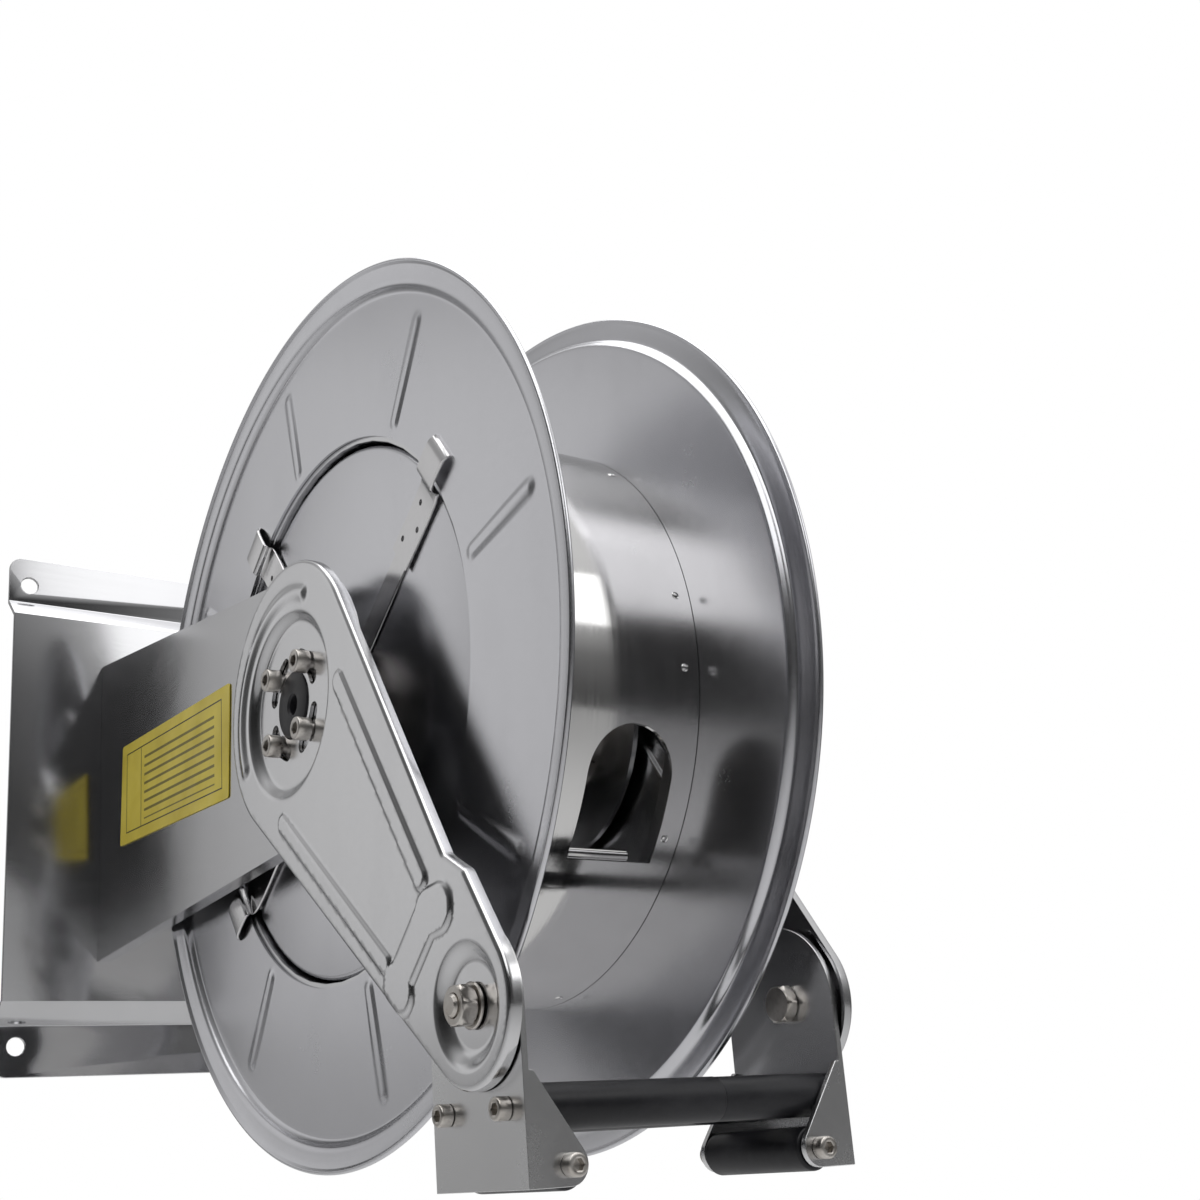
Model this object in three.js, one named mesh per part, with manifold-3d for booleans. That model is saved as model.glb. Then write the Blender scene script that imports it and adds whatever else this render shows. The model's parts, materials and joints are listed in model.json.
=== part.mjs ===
// Wall-mounted stainless hose reel with spring rewind, an adjustable guide arm and a four-roller hose guide.
// Millimetres. X runs along the axle, -Y points away from the wall, Z is up. The origin is the centre of the
// four fixing holes, on the wall plane.
import * as THREE from "three";
import { mergeVertices } from "three/addons/utils/BufferGeometryUtils.js";
import Module from "manifold-3d";

const wasm = await Module();
wasm.setup();

const FULL_TURN = 2 * Math.PI;
const HALF_TURN = Math.PI;
const QUARTER_TURN = Math.PI / 2;
const GAP = 0.3; // between pieces that touch
const PAST = 5; // how far a cutting shape reaches past the surface that it opens
const ROOT = 1; // how deep a raised feature is rooted in its sheet
const WELD = 1e-3;

// Wall plate
const PLATE_WIDTH = 310;
const PLATE_HEIGHT = 384;
const PLATE_SHEET = 3;
const PLATE_DEPTH = 20; // wall to the front of the middle panel
const PLATE_STEP_OUTER_Z = 157; // where the slanted step leaves the flange
const PLATE_STEP_INNER_Z = 142; // where it meets the middle panel
const PLATE_CORNER = 9;
const FIXING_X = 140;
const FIXING_Z = 171;
const FIXING_RADIUS = 6.5;

// Axle
const AXLE_Y = -367;
const AXLE_Z = -21;
const AXLE_RADIUS = 17;
const ARBOR_RADIUS = 26; // the thick end that holds the spring
const ARBOR_END_X = -17;
const AXLE_FLANGE_RADIUS = 36;
const AXLE_FLANGE = 7;
const SCREW_DEPTH = 5; // how far the hub screws reach into the axle flange

// Side arms, each a pressed plate with its long edges turned towards the drum
const ARM_OUTER_X = 89;
const ARM_SHEET = 3;
const ARM_INNER_X = ARM_OUTER_X - ARM_SHEET;
const ARM_FLANGE = 7;
const ARM_FLANGE_START = 2; // in front of this distance past the axle, the edge isn't turned
const ARM_ROOT_TOP_Z = 107;
const ARM_ROOT_BOTTOM_Z = -114;
const ARM_END_RADIUS = 76;
const ARM_BORE = 19.4;

// Label on the left side arm
const LABEL = { y: -170, z: -10, length: 198, height: 71, sheet: 0.6, corner: 2, tilt: 0.05 };

// Hub screws and cap
const HUB_CAP_RADIUS = 19;
const HUB_CAP_BORE = 5.5;
const HUB_CAP_CHAMFER = 1;
const HUB_CAP_PROUD = 0.5;
const HUB_SCREW_CIRCLE = 27;
const HUB_SCREW = { head: 6.5, headLength: 8, shank: 4, socket: 3.4 };
const HUB_SCREW_HOLE = 4.4;
const HUB_SCREW_COUNT = 4;
const SCREW_CHAMFER = 0.6;

// Guide arms. Their outline is drawn in a frame that runs from the axle along the arm (first number)
// and across it towards the front (second number).
const GUIDE_ANGLE = THREE.MathUtils.degToRad(47.9); // below the horizontal
const GUIDE_OUTER_X = 96;
const GUIDE_SHEET = 2.5;
const GUIDE_RIM_DEPTH = 6;
const GUIDE_HUB = { along: -4, across: 2, radius: 77 };
const GUIDE_TIP = { along: 256, across: 8, radius: 36 };
const GUIDE_SHOULDER = [[215, 50], [196, 44]];
const GUIDE_RECESS_OUTER_X = 92; // outer face of the two sunk floors
const HUB_RECESS_RADIUS = 51;
const PIVOT_RECESS_RADIUS = 25;
const SLOT_HALF_WIDTH = 4.6;
const SLOT_HALF_ANGLE = THREE.MathUtils.degToRad(24);
const PRESSING_HEIGHT = 2;
const GUIDE_RIBS = [[[48, 44.5], [188, 23.5], 6], [[44, -49.5], [188, -26.5], 5.5]];
const GUIDE_BUMPS = [
  [[204, 16.5], [210, 24.5], 12],
  [[204, 14.5], [204, -21.5], 11],
  [[201, -27], [210, -25.5], 10.5],
];
const HUB_RIDGE = {
  middle: 62,
  half: 6,
  from: THREE.MathUtils.degToRad(115),
  to: THREE.MathUtils.degToRad(250),
};

// Pivot between the guide arms and the roller head
const PIVOT = [GUIDE_TIP.along, GUIDE_TIP.across];
const PIVOT_BOLT = { radius: 5, flats: 17, head: 6.4, end: 104 };
const PIVOT_HOLE = 5.3;
const PIVOT_NUT = 8;
const PIVOT_WASHER = { radius: 10.5, sheet: 1.6 };

// Roller head, positions measured from the axle
const HEAD_FRONT_Y = -209;
const HEAD_REAR_Y = -133;
const HEAD_MIDDLE_Y = (HEAD_FRONT_Y + HEAD_REAR_Y) / 2;
const HEAD_BOTTOM_Z = -261;
const EAR_TOP_Z = -214;
const EAR_TOP_REACH = 5;
const EAR_REACH = 29.5;
const EAR_CORNER = 9;
const LONG_ROLLER_Z = -228.5;
const LONG_ROLLER_Y = [-195, -147];
const SHORT_ROLLER_X = 68.5;
const SHORT_ROLLER_Z = -252.5;
const ROLLER_RADIUS = 10;
const ROLLER_BORE = 3.4;
const ROLLER_CHAMFER = 1;
const ROLLER_END_GAP = 1;
const SPINDLE = { head: 5, headLength: 6, shank: 3, socket: 2.7, socketDepth: 3, hole: 3.35 };

// Drum, measured from the middle of its width
const DRUM_X = -3;
const DISC_SHEET = 1.5;
const DISC_FACE_X = 66; // outside of the flat part
const DISC_HOLE = 154;
const DISC_RIM = [[0, 233], [4, 237.5], [5.5, 246.5], [7, 250]]; // how far out from the face, at which radius
const BARREL_RADIUS = 166;
const BARREL_SHEET = 1.5;
const RIB_COUNT = 8;
const RIB_OFFSET = THREE.MathUtils.degToRad(12.5);
const RIB = { inner: 164, outer: 218, half: 4, height: 1.6 };
const WINDOW = { x: 25, half: 26, top: -15, bottom: -40 }; // degrees from the horizontal, on the front
const COVER_RADIUS = 150;
const COVER_FACE_X = -61.5;
const COVER_RIM = 7;
const COVER_BEND = 2;
const COVER_HOLE = 40;
const STRAP_COUNT = 4;
const STRAP_OFFSET = THREE.MathUtils.degToRad(36);
const STRAP = { half: 11, inner: 46, step: 148, outer: 172, rise: 3, sheet: 1.2 };
const STRAP_HOLES = { radius: 1.6, places: [[112, 5], [124, -5], [136, 3]] };
const CAN_RADIUS = 153;
const CAN_FLANGE_RADIUS = 163.5;
const CAN_BACK_X = -10;
const SPRING = { inner: 29, outer: 136, turns: 5, stepsPerTurn: 16, sheet: 2.4, from: -54, to: -16 };
const HUB_TUBE = { inner: 17.6, outer: 24, end: 63, flangeRadius: 38, flange: 4 };
const SPIDER = { ring: 152, boss: 14, spoke: 14, sheet: 4, x: 55, overlap: 6 };
const SPIDER_ANGLES = [30, 150, 270];
const OUTLET = { x: 30, radius: 9, from: [-10, -24], bend: [-30, -150], to: [-96, -108], steps: 8 };

// Swivel inlet on the right
const INLET = { radius: 19, shoulder: 100, end: 112, neck: 12 };
const ELBOW = { x: 124, block: 17, chamfer: 2, pipe: 11, reach: 62, bore: 8, boreDepth: 25 };
const ELBOW_NUT = { radius: 16, from: -47, to: -33 };

const DISC_SEGMENTS = 48;
const ROUND_SEGMENTS = 30;
const SMALL_SEGMENTS = 14;
const HOLE_SEGMENTS = 12;
const TINY_SEGMENTS = 8;
const ARC = { smooth: 16, large: 12, medium: 9, small: 5, tiny: 3, coarse: 2 }; // steps along a drawn curve

const steel = { color: 0xc4c6c8, roughness: 0.32, metalness: 1 };
const polished = { color: 0xd6d8da, roughness: 0.12, metalness: 1 };
const fastener = { color: 0xa9a7a3, roughness: 0.4, metalness: 1 };
const nylon = { color: 0x17171a, roughness: 0.5, metalness: 0 };
const springSteel = { color: 0x4a4d55, roughness: 0.45, metalness: 1 };
const labelYellow = { color: 0xe0c81e, roughness: 0.5, metalness: 0 };

const reel = new THREE.Group();
reel.name = "hose_reel";

function addNode(name, geometry, look) {
  const mesh = new THREE.Mesh(geometry, new THREE.MeshStandardMaterial(look));
  mesh.name = name;
  reel.add(mesh);
}

// Solids

function solidOf(geometry) {
  const bare = geometry.index ? geometry.toNonIndexed() : geometry.clone();
  bare.deleteAttribute("normal");
  bare.deleteAttribute("uv");
  const welded = mergeVertices(bare, WELD);
  return new wasm.Manifold(new wasm.Mesh({
    numProp: 3,
    vertProperties: welded.attributes.position.array,
    triVerts: new Uint32Array(welded.index.array),
  }));
}

function geometryOf(solid) {
  const mesh = solid.getMesh();
  const geometry = new THREE.BufferGeometry();
  geometry.setAttribute("position", new THREE.BufferAttribute(new Float32Array(mesh.vertProperties), 3));
  geometry.setIndex(new THREE.BufferAttribute(new Uint32Array(mesh.triVerts), 1));
  return geometry;
}

function cut(geometry, tools) {
  return geometryOf(tools.reduce((left, tool) => left.subtract(solidOf(tool)), solidOf(geometry)));
}

function join([first, ...others]) {
  return geometryOf(others.reduce((sum, next) => sum.add(solidOf(next)), solidOf(first)));
}

function overlap(one, other) {
  return geometryOf(solidOf(one).intersect(solidOf(other)));
}

// Places every corner by a rule that mirrors the solid, and turns its faces the right way out again.
function mirroredBy(geometry, place) {
  const flipped = geometry.index ? geometry.toNonIndexed() : geometry.clone();
  const positions = flipped.attributes.position;
  for (let i = 0; i < positions.count; i += 3) {
    const corners = [0, 2, 1].map((k) => new THREE.Vector3().fromBufferAttribute(positions, i + k));
    corners.forEach((corner, k) => positions.setXYZ(i + k, ...place(corner)));
  }
  flipped.deleteAttribute("normal");
  return flipped;
}

// The same shape on the other side.
function mirrored(geometry) {
  return mirroredBy(geometry, ({ x, y, z }) => [-x, y, z]);
}

function atAxle(geometry) {
  return geometry.translate(0, AXLE_Y, AXLE_Z);
}

function atDrum(geometry) {
  return geometry.translate(DRUM_X, AXLE_Y, AXLE_Z);
}

// Profile of [x, radius] pairs turned about the X axis.
function turned(profile, segments) {
  const points = profile.map(([x, radius]) => new THREE.Vector2(radius, x));
  if (THREE.ShapeUtils.area(points) < 0) points.reverse();
  points.push(points[0].clone());
  return new THREE.LatheGeometry(points, segments).rotateZ(-QUARTER_TURN);
}

function tube(fromX, toX, inner, outer, segments) {
  return turned([[fromX, inner], [fromX, outer], [toX, outer], [toX, inner]], segments);
}

function rodX(fromX, toX, radius, segments = SMALL_SEGMENTS) {
  const rod = new THREE.CylinderGeometry(radius, radius, toX - fromX, segments).rotateZ(-QUARTER_TURN);
  return rod.translate((fromX + toX) / 2, 0, 0);
}

function rodY(fromY, toY, radius, segments = SMALL_SEGMENTS) {
  return rodX(fromY, toY, radius, segments).rotateZ(QUARTER_TURN);
}

function rodZ(fromZ, toZ, radius, segments = SMALL_SEGMENTS) {
  return rodX(fromZ, toZ, radius, segments).rotateY(-QUARTER_TURN);
}

function hexX(fromX, toX, flats) {
  return rodX(fromX, toX, flats / Math.sqrt(3), 6);
}

function block([fromX, toX], [fromY, toY], [fromZ, toZ]) {
  return new THREE.BoxGeometry(toX - fromX, toY - fromY, toZ - fromZ)
    .translate((fromX + toX) / 2, (fromY + toY) / 2, (fromZ + toZ) / 2);
}

// A shape drawn in (y, z), thickened along X.
function plateX(shape, fromX, toX, curveSegments = ARC.small) {
  const plate = new THREE.ExtrudeGeometry(shape, { depth: toX - fromX, bevelEnabled: false, curveSegments });
  const turn = new THREE.Matrix4().makeBasis(
    new THREE.Vector3(0, 1, 0), new THREE.Vector3(0, 0, 1), new THREE.Vector3(1, 0, 0));
  return plate.applyMatrix4(turn).translate(fromX, 0, 0);
}

// A shape drawn in (x, z), thickened along Y.
function plateY(shape, fromY, toY, curveSegments = ARC.small) {
  const plate = new THREE.ExtrudeGeometry(shape, { depth: toY - fromY, bevelEnabled: false, curveSegments });
  const turn = new THREE.Matrix4().makeBasis(
    new THREE.Vector3(1, 0, 0), new THREE.Vector3(0, 0, 1), new THREE.Vector3(0, -1, 0));
  return plate.applyMatrix4(turn).translate(0, toY, 0);
}

function polygon(points) {
  return new THREE.Shape(points.map(([a, b]) => new THREE.Vector2(a, b)));
}

function roundedRectangle(width, height, radius) {
  const shape = new THREE.Shape();
  const w = width / 2 - radius;
  const h = height / 2 - radius;
  shape.absarc(w, h, radius, 0, QUARTER_TURN);
  shape.absarc(-w, h, radius, QUARTER_TURN, HALF_TURN);
  shape.absarc(-w, -h, radius, HALF_TURN, HALF_TURN + QUARTER_TURN);
  shape.absarc(w, -h, radius, HALF_TURN + QUARTER_TURN, FULL_TURN);
  return shape;
}

// A bar with round ends between two points.
function stadium([ax, ay], [bx, by], radius) {
  const heading = Math.atan2(by - ay, bx - ax);
  const shape = new THREE.Shape();
  shape.absarc(bx, by, radius, heading - QUARTER_TURN, heading + QUARTER_TURN);
  shape.absarc(ax, ay, radius, heading + QUARTER_TURN, heading + HALF_TURN + QUARTER_TURN);
  return shape;
}

function circle(a, b, radius) {
  const shape = new THREE.Shape();
  shape.absarc(a, b, radius, 0, FULL_TURN);
  return shape;
}

// A band round the axle between two angles, with round ends.
function arcSlot(middle, half, from, to) {
  const shape = new THREE.Shape();
  shape.absarc(0, 0, middle + half, from, to);
  shape.absarc(middle * Math.cos(to), middle * Math.sin(to), half, to, to + HALF_TURN);
  shape.absarc(0, 0, middle - half, to, from, true);
  shape.absarc(middle * Math.cos(from), middle * Math.sin(from), half, from - HALF_TURN, from);
  return shape;
}

// The angle at which a line from a point touches a circle, with the point given from the circle's centre.
// With side 1 it touches anticlockwise of the point, with -1 clockwise.
function touchAngle(dx, dy, radius, side) {
  return Math.atan2(dy, dx) + side * Math.acos(radius / Math.hypot(dx, dy));
}

// Screw with a socket head whose head starts at headX and whose shank ends at endX.
function socketScrew(size, headX, endX) {
  const seatX = headX + size.headLength;
  const body = turned([
    [headX, 0],
    [headX, size.head - SCREW_CHAMFER],
    [headX + SCREW_CHAMFER, size.head],
    [seatX, size.head],
    [seatX, size.shank],
    [endX, size.shank],
    [endX, 0],
  ], SMALL_SEGMENTS);
  return cut(body, [hexX(headX - PAST, headX + size.headLength / 2, size.socket * Math.sqrt(3))]);
}

// Frame

function wallPlate() {
  const top = PLATE_HEIGHT / 2;
  const front = [
    [0, top], [-PLATE_SHEET, top], [-PLATE_SHEET, PLATE_STEP_OUTER_Z], [-PLATE_DEPTH, PLATE_STEP_INNER_Z],
  ];
  const back = [
    [PLATE_SHEET - PLATE_DEPTH, PLATE_STEP_INNER_Z - PLATE_SHEET / 2],
    [0, PLATE_STEP_OUTER_Z - PLATE_SHEET / 2],
  ];
  const below = (points) => points.map(([y, z]) => [y, -z]).reverse();
  const profile = polygon([...front, ...below(front), ...below(back), ...back]);
  const sheet = plateX(profile, -PLATE_WIDTH / 2, PLATE_WIDTH / 2);
  const rounded = roundedRectangle(PLATE_WIDTH, PLATE_HEIGHT, PLATE_CORNER);
  const outline = plateY(rounded, -PLATE_DEPTH - PAST, PAST);
  const holes = [-1, 1].flatMap((sideX) => [-1, 1].map((sideZ) =>
    rodY(-PLATE_SHEET - PAST, PAST, FIXING_RADIUS).translate(sideX * FIXING_X, 0, sideZ * FIXING_Z)));
  return cut(overlap(sheet, outline), holes);
}

function sideArm() {
  const rootY = -PLATE_DEPTH - GAP - AXLE_Y;
  const rootTop = ARM_ROOT_TOP_Z - AXLE_Z;
  const rootBottom = ARM_ROOT_BOTTOM_Z - AXLE_Z;
  const topAngle = touchAngle(rootY, rootTop, ARM_END_RADIUS, 1);
  const bottomAngle = touchAngle(rootY, rootBottom, ARM_END_RADIUS, -1) + FULL_TURN;
  const outline = (inset) => {
    const shape = new THREE.Shape();
    shape.moveTo(rootY, rootBottom + inset);
    shape.lineTo(rootY, rootTop - inset);
    shape.absarc(0, 0, ARM_END_RADIUS - inset, topAngle, bottomAngle);
    return shape;
  };
  const full = plateX(outline(0), -ARM_OUTER_X, ARM_FLANGE - ARM_INNER_X, ARC.medium);
  const hollow = plateX(outline(ARM_SHEET), -ARM_INNER_X, 0, ARC.medium);
  const openFront = block(
    [-ARM_INNER_X, 0],
    [-ARM_END_RADIUS - PAST, -ARM_FLANGE_START],
    [-ARM_END_RADIUS - PAST, ARM_END_RADIUS + PAST],
  );
  const openRoot = block(
    [-ARM_INNER_X, 0],
    [rootY - PAST, rootY + PAST],
    [rootBottom + ARM_SHEET + ROOT, rootTop - ARM_SHEET - ROOT],
  );
  const bore = rodX(-ARM_OUTER_X - PAST, 0, ARM_BORE, ROUND_SEGMENTS);
  return atAxle(cut(full, [hollow, openFront, openRoot, bore, ...hubScrewHoles(-ARM_OUTER_X - PAST, 0)]));
}

function hubScrewAngle(index) {
  return ((index + 0.5) * FULL_TURN) / HUB_SCREW_COUNT;
}

function atHubScrew(geometry, index) {
  const angle = hubScrewAngle(index);
  return geometry.translate(0, HUB_SCREW_CIRCLE * Math.cos(angle), HUB_SCREW_CIRCLE * Math.sin(angle));
}

function hubScrewHoles(fromX, toX) {
  return Array.from({ length: HUB_SCREW_COUNT }, (_, i) =>
    atHubScrew(rodX(fromX, toX, HUB_SCREW_HOLE, HOLE_SEGMENTS), i));
}

function label() {
  const back = -ARM_OUTER_X - GAP;
  const outline = roundedRectangle(LABEL.length, LABEL.height, LABEL.corner);
  const film = plateX(outline, back - LABEL.sheet, back, ARC.tiny);
  return film.rotateX(LABEL.tilt).translate(0, LABEL.y, LABEL.z);
}

function hubCap() {
  const face = -GUIDE_RECESS_OUTER_X - HUB_CAP_PROUD;
  const back = -ARM_INNER_X - GAP;
  return atAxle(turned([
    [face, HUB_CAP_BORE],
    [face, HUB_CAP_RADIUS - HUB_CAP_CHAMFER],
    [face + HUB_CAP_CHAMFER, HUB_CAP_RADIUS],
    [back, HUB_CAP_RADIUS],
    [back, HUB_CAP_BORE],
  ], ROUND_SEGMENTS));
}

function axle() {
  const end = ARM_INNER_X - GAP;
  const seat = end - AXLE_FLANGE;
  const holeEnd = end - SCREW_DEPTH - ROOT;
  const body = turned([
    [-end, 0],
    [-end, AXLE_FLANGE_RADIUS],
    [-seat, AXLE_FLANGE_RADIUS],
    [-seat, ARBOR_RADIUS],
    [ARBOR_END_X, ARBOR_RADIUS],
    [ARBOR_END_X, AXLE_RADIUS],
    [seat, AXLE_RADIUS],
    [seat, AXLE_FLANGE_RADIUS],
    [end, AXLE_FLANGE_RADIUS],
    [end, 0],
  ], ROUND_SEGMENTS);
  const holes = [...hubScrewHoles(-end - PAST, -holeEnd), ...hubScrewHoles(holeEnd, end + PAST)];
  return atAxle(cut(body, holes));
}

function hubScrew(index) {
  const headX = -GUIDE_RECESS_OUTER_X - GAP - HUB_SCREW.headLength;
  const endX = SCREW_DEPTH + GAP - ARM_INNER_X;
  return atAxle(atHubScrew(socketScrew(HUB_SCREW, headX, endX), index));
}

function inletBody() {
  const start = ARM_INNER_X + GAP;
  return atAxle(turned([
    [start, 0],
    [start, INLET.radius],
    [INLET.shoulder, INLET.radius],
    [INLET.shoulder, INLET.neck],
    [INLET.end, INLET.neck],
    [INLET.end, 0],
  ], ROUND_SEGMENTS));
}

// Elbow that turns on the neck of the inlet body and takes the supply hose from below.
function inletElbow() {
  const start = INLET.shoulder + GAP;
  const end = ELBOW.x + ELBOW.block;
  const body = turned([
    [start, 0],
    [start, ELBOW.block],
    [end - ELBOW.chamfer, ELBOW.block],
    [end, ELBOW.block - ELBOW.chamfer],
    [end, 0],
  ], ROUND_SEGMENTS);
  const pipe = rodZ(-ELBOW.reach, 0, ELBOW.pipe, ROUND_SEGMENTS).translate(ELBOW.x, 0, 0);
  const nut = rodZ(ELBOW_NUT.from, ELBOW_NUT.to, ELBOW_NUT.radius, 6).translate(ELBOW.x, 0, 0);
  const bore = rodZ(-ELBOW.reach - PAST, ELBOW.boreDepth - ELBOW.reach, ELBOW.bore).translate(ELBOW.x, 0, 0);
  const neckSeat = rodX(start - PAST, INLET.end + GAP, INLET.neck + GAP, ROUND_SEGMENTS);
  return atAxle(cut(join([body, pipe, nut]), [bore, neckSeat]));
}

// Guide frame

// Turns (along, across) of the guide arm into (y, z) about the axle.
function armPoint([along, across]) {
  const c = Math.cos(GUIDE_ANGLE);
  const s = Math.sin(GUIDE_ANGLE);
  return [-c * along - s * across, -s * along + c * across];
}

// Takes a solid drawn with (along, across) as (y, z) to its place about the axle.
function layAlongArm(geometry) {
  return atAxle(mirroredBy(geometry, ({ x, y, z }) => [x, ...armPoint([y, z])]));
}

const [PIVOT_Y, PIVOT_Z] = armPoint(PIVOT);

// Round the hub, along the straight rear edge, round the tip and back over the shoulder.
function guideOutline(inset) {
  const hubRadius = GUIDE_HUB.radius - inset;
  const tipRadius = GUIDE_TIP.radius - inset;
  const shoulder = GUIDE_SHOULDER.map(([along, across]) => [along, across - inset]);
  const [tipSide, hubSide] = shoulder;
  const rearAngle = FULL_TURN + touchAngle(
    GUIDE_TIP.along - GUIDE_HUB.along, GUIDE_TIP.across - GUIDE_HUB.across, hubRadius - tipRadius, -1);
  const hubAngle = touchAngle(hubSide[0] - GUIDE_HUB.along, hubSide[1] - GUIDE_HUB.across, hubRadius, 1);
  const tipAngle = FULL_TURN + touchAngle(
    tipSide[0] - GUIDE_TIP.along, tipSide[1] - GUIDE_TIP.across, tipRadius, -1);
  const shape = new THREE.Shape();
  shape.absarc(GUIDE_HUB.along, GUIDE_HUB.across, hubRadius, hubAngle, rearAngle);
  shape.absarc(GUIDE_TIP.along, GUIDE_TIP.across, tipRadius, rearAngle, tipAngle);
  shoulder.forEach(([along, across]) => shape.lineTo(along, across));
  return shape;
}

function guideArm() {
  const outer = -GUIDE_OUTER_X;
  const inner = outer + GUIDE_SHEET;
  const back = outer + GUIDE_RIM_DEPTH;
  const floorOuter = -GUIDE_RECESS_OUTER_X;
  const floorInner = -ARM_OUTER_X - GAP;
  const throughFloor = (shape, steps) => plateX(shape, floorOuter - PAST, floorInner + PAST, steps);
  const rim = plateX(guideOutline(0), outer, back, ARC.medium);
  const hollow = plateX(guideOutline(GUIDE_SHEET), inner, back + PAST, ARC.medium);
  const cups = [[[0, 0], HUB_RECESS_RADIUS, ARC.smooth], [PIVOT, PIVOT_RECESS_RADIUS, ARC.large]];
  const cupWalls = cups.map(([centre, radius, steps]) =>
    plateX(circle(...centre, radius + GUIDE_SHEET), outer, floorInner, steps));
  const cupHollows = cups.map(([centre, radius, steps]) =>
    plateX(circle(...centre, radius), outer - PAST, floorOuter, steps));
  const ridge = arcSlot(HUB_RIDGE.middle, HUB_RIDGE.half, HUB_RIDGE.from, HUB_RIDGE.to);
  const pads = [...GUIDE_RIBS, ...GUIDE_BUMPS].map(([from, to, half]) => stadium(from, to, half));
  const pressings = [...pads, ridge].map((shape) =>
    plateX(shape, outer - PRESSING_HEIGHT, outer + ROOT, ARC.tiny));
  const slots = Array.from({ length: HUB_SCREW_COUNT }, (_, i) => {
    const middle = hubScrewAngle(i) + GUIDE_ANGLE;
    const ends = [middle - SLOT_HALF_ANGLE, middle + SLOT_HALF_ANGLE];
    return throughFloor(arcSlot(HUB_SCREW_CIRCLE, SLOT_HALF_WIDTH, ...ends), ARC.tiny);
  });
  const bore = throughFloor(circle(0, 0, HUB_CAP_RADIUS + GAP), ARC.large);
  const pivotHole = throughFloor(circle(...PIVOT, PIVOT_HOLE), ARC.small);
  const shell = cut(rim, [hollow]);
  const pressed = join([shell, ...cupWalls, ...pressings]);
  return layAlongArm(cut(pressed, [...cupHollows, ...slots, bore, pivotHole]));
}

function atPivot(geometry) {
  return atAxle(geometry.translate(0, PIVOT_Y, PIVOT_Z));
}

function pivotBolt() {
  const seat = -ARM_INNER_X + GAP;
  return atPivot(join([
    hexX(seat, seat + PIVOT_BOLT.head, PIVOT_BOLT.flats),
    rodX(-PIVOT_BOLT.end, seat + ROOT, PIVOT_BOLT.radius),
  ]));
}

function pivotWasher() {
  const seat = -GUIDE_RECESS_OUTER_X - GAP;
  return atPivot(tube(seat - PIVOT_WASHER.sheet, seat, PIVOT_HOLE, PIVOT_WASHER.radius, SMALL_SEGMENTS));
}

function pivotNut() {
  const seat = -GUIDE_RECESS_OUTER_X - 2 * GAP - PIVOT_WASHER.sheet;
  const thread = rodX(seat - PIVOT_NUT - PAST, seat + PAST, PIVOT_HOLE);
  return atPivot(cut(hexX(seat - PIVOT_NUT, seat, PIVOT_BOLT.flats), [thread]));
}

// Roller head

// A triangular ear that the side plate turns inwards at its front and rear edges.
function ear(fromY) {
  const plate = -ARM_OUTER_X;
  const cornerX = plate + EAR_REACH - EAR_CORNER;
  const cornerZ = HEAD_BOTTOM_Z + EAR_CORNER;
  const slant = touchAngle(plate + EAR_TOP_REACH - cornerX, EAR_TOP_Z - cornerZ, EAR_CORNER, -1);
  const shape = new THREE.Shape();
  shape.moveTo(plate, EAR_TOP_Z);
  shape.lineTo(plate, HEAD_BOTTOM_Z);
  shape.absarc(cornerX, cornerZ, EAR_CORNER, HALF_TURN + QUARTER_TURN, FULL_TURN + slant);
  shape.lineTo(plate + EAR_TOP_REACH, EAR_TOP_Z);
  return plateY(shape, fromY, fromY + ARM_SHEET, ARC.small);
}

function bracket() {
  const outline = new THREE.Shape();
  outline.moveTo(HEAD_REAR_Y, HEAD_BOTTOM_Z);
  outline.lineTo(HEAD_REAR_Y, PIVOT_Z);
  outline.absarc(HEAD_MIDDLE_Y, PIVOT_Z, (HEAD_REAR_Y - HEAD_FRONT_Y) / 2, 0, HALF_TURN);
  outline.lineTo(HEAD_FRONT_Y, HEAD_BOTTOM_Z);
  const side = plateX(outline, -ARM_OUTER_X, -ARM_INNER_X, ARC.smooth);
  const holeX = [-ARM_OUTER_X - PAST, -ARM_INNER_X + PAST];
  const holes = [
    rodX(...holeX, PIVOT_HOLE).translate(0, PIVOT_Y, PIVOT_Z),
    ...LONG_ROLLER_Y.map((y) => rodX(...holeX, SPINDLE.hole, HOLE_SEGMENTS).translate(0, y, LONG_ROLLER_Z)),
    rodY(HEAD_FRONT_Y - PAST, HEAD_REAR_Y + PAST, SPINDLE.hole, HOLE_SEGMENTS)
      .translate(-SHORT_ROLLER_X, 0, SHORT_ROLLER_Z),
  ];
  return atAxle(cut(join([side, ear(HEAD_FRONT_Y), ear(HEAD_REAR_Y - ARM_SHEET)]), holes));
}

// A spindle that is screw-headed at both ends, its shank between two plates that start at from and to.
function spindle(from, to) {
  const seat = from - GAP;
  const end = seat - SPINDLE.headLength;
  const outer = [
    [end, 0],
    [end, SPINDLE.head - SCREW_CHAMFER],
    [end + SCREW_CHAMFER, SPINDLE.head],
    [seat, SPINDLE.head],
    [seat, SPINDLE.shank],
  ];
  const otherWay = outer.map(([x, radius]) => [from + to - x, radius]).reverse();
  const flats = SPINDLE.socket * Math.sqrt(3);
  const otherEnd = from + to - end;
  return cut(turned([...outer, ...otherWay], SMALL_SEGMENTS), [
    hexX(end - PAST, end + SPINDLE.socketDepth, flats),
    hexX(otherEnd - SPINDLE.socketDepth, otherEnd + PAST, flats),
  ]);
}

function roller(from, to) {
  return turned([
    [from, ROLLER_BORE],
    [from, ROLLER_RADIUS - ROLLER_CHAMFER],
    [from + ROLLER_CHAMFER, ROLLER_RADIUS],
    [to - ROLLER_CHAMFER, ROLLER_RADIUS],
    [to, ROLLER_RADIUS - ROLLER_CHAMFER],
    [to, ROLLER_BORE],
  ], SMALL_SEGMENTS);
}

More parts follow.
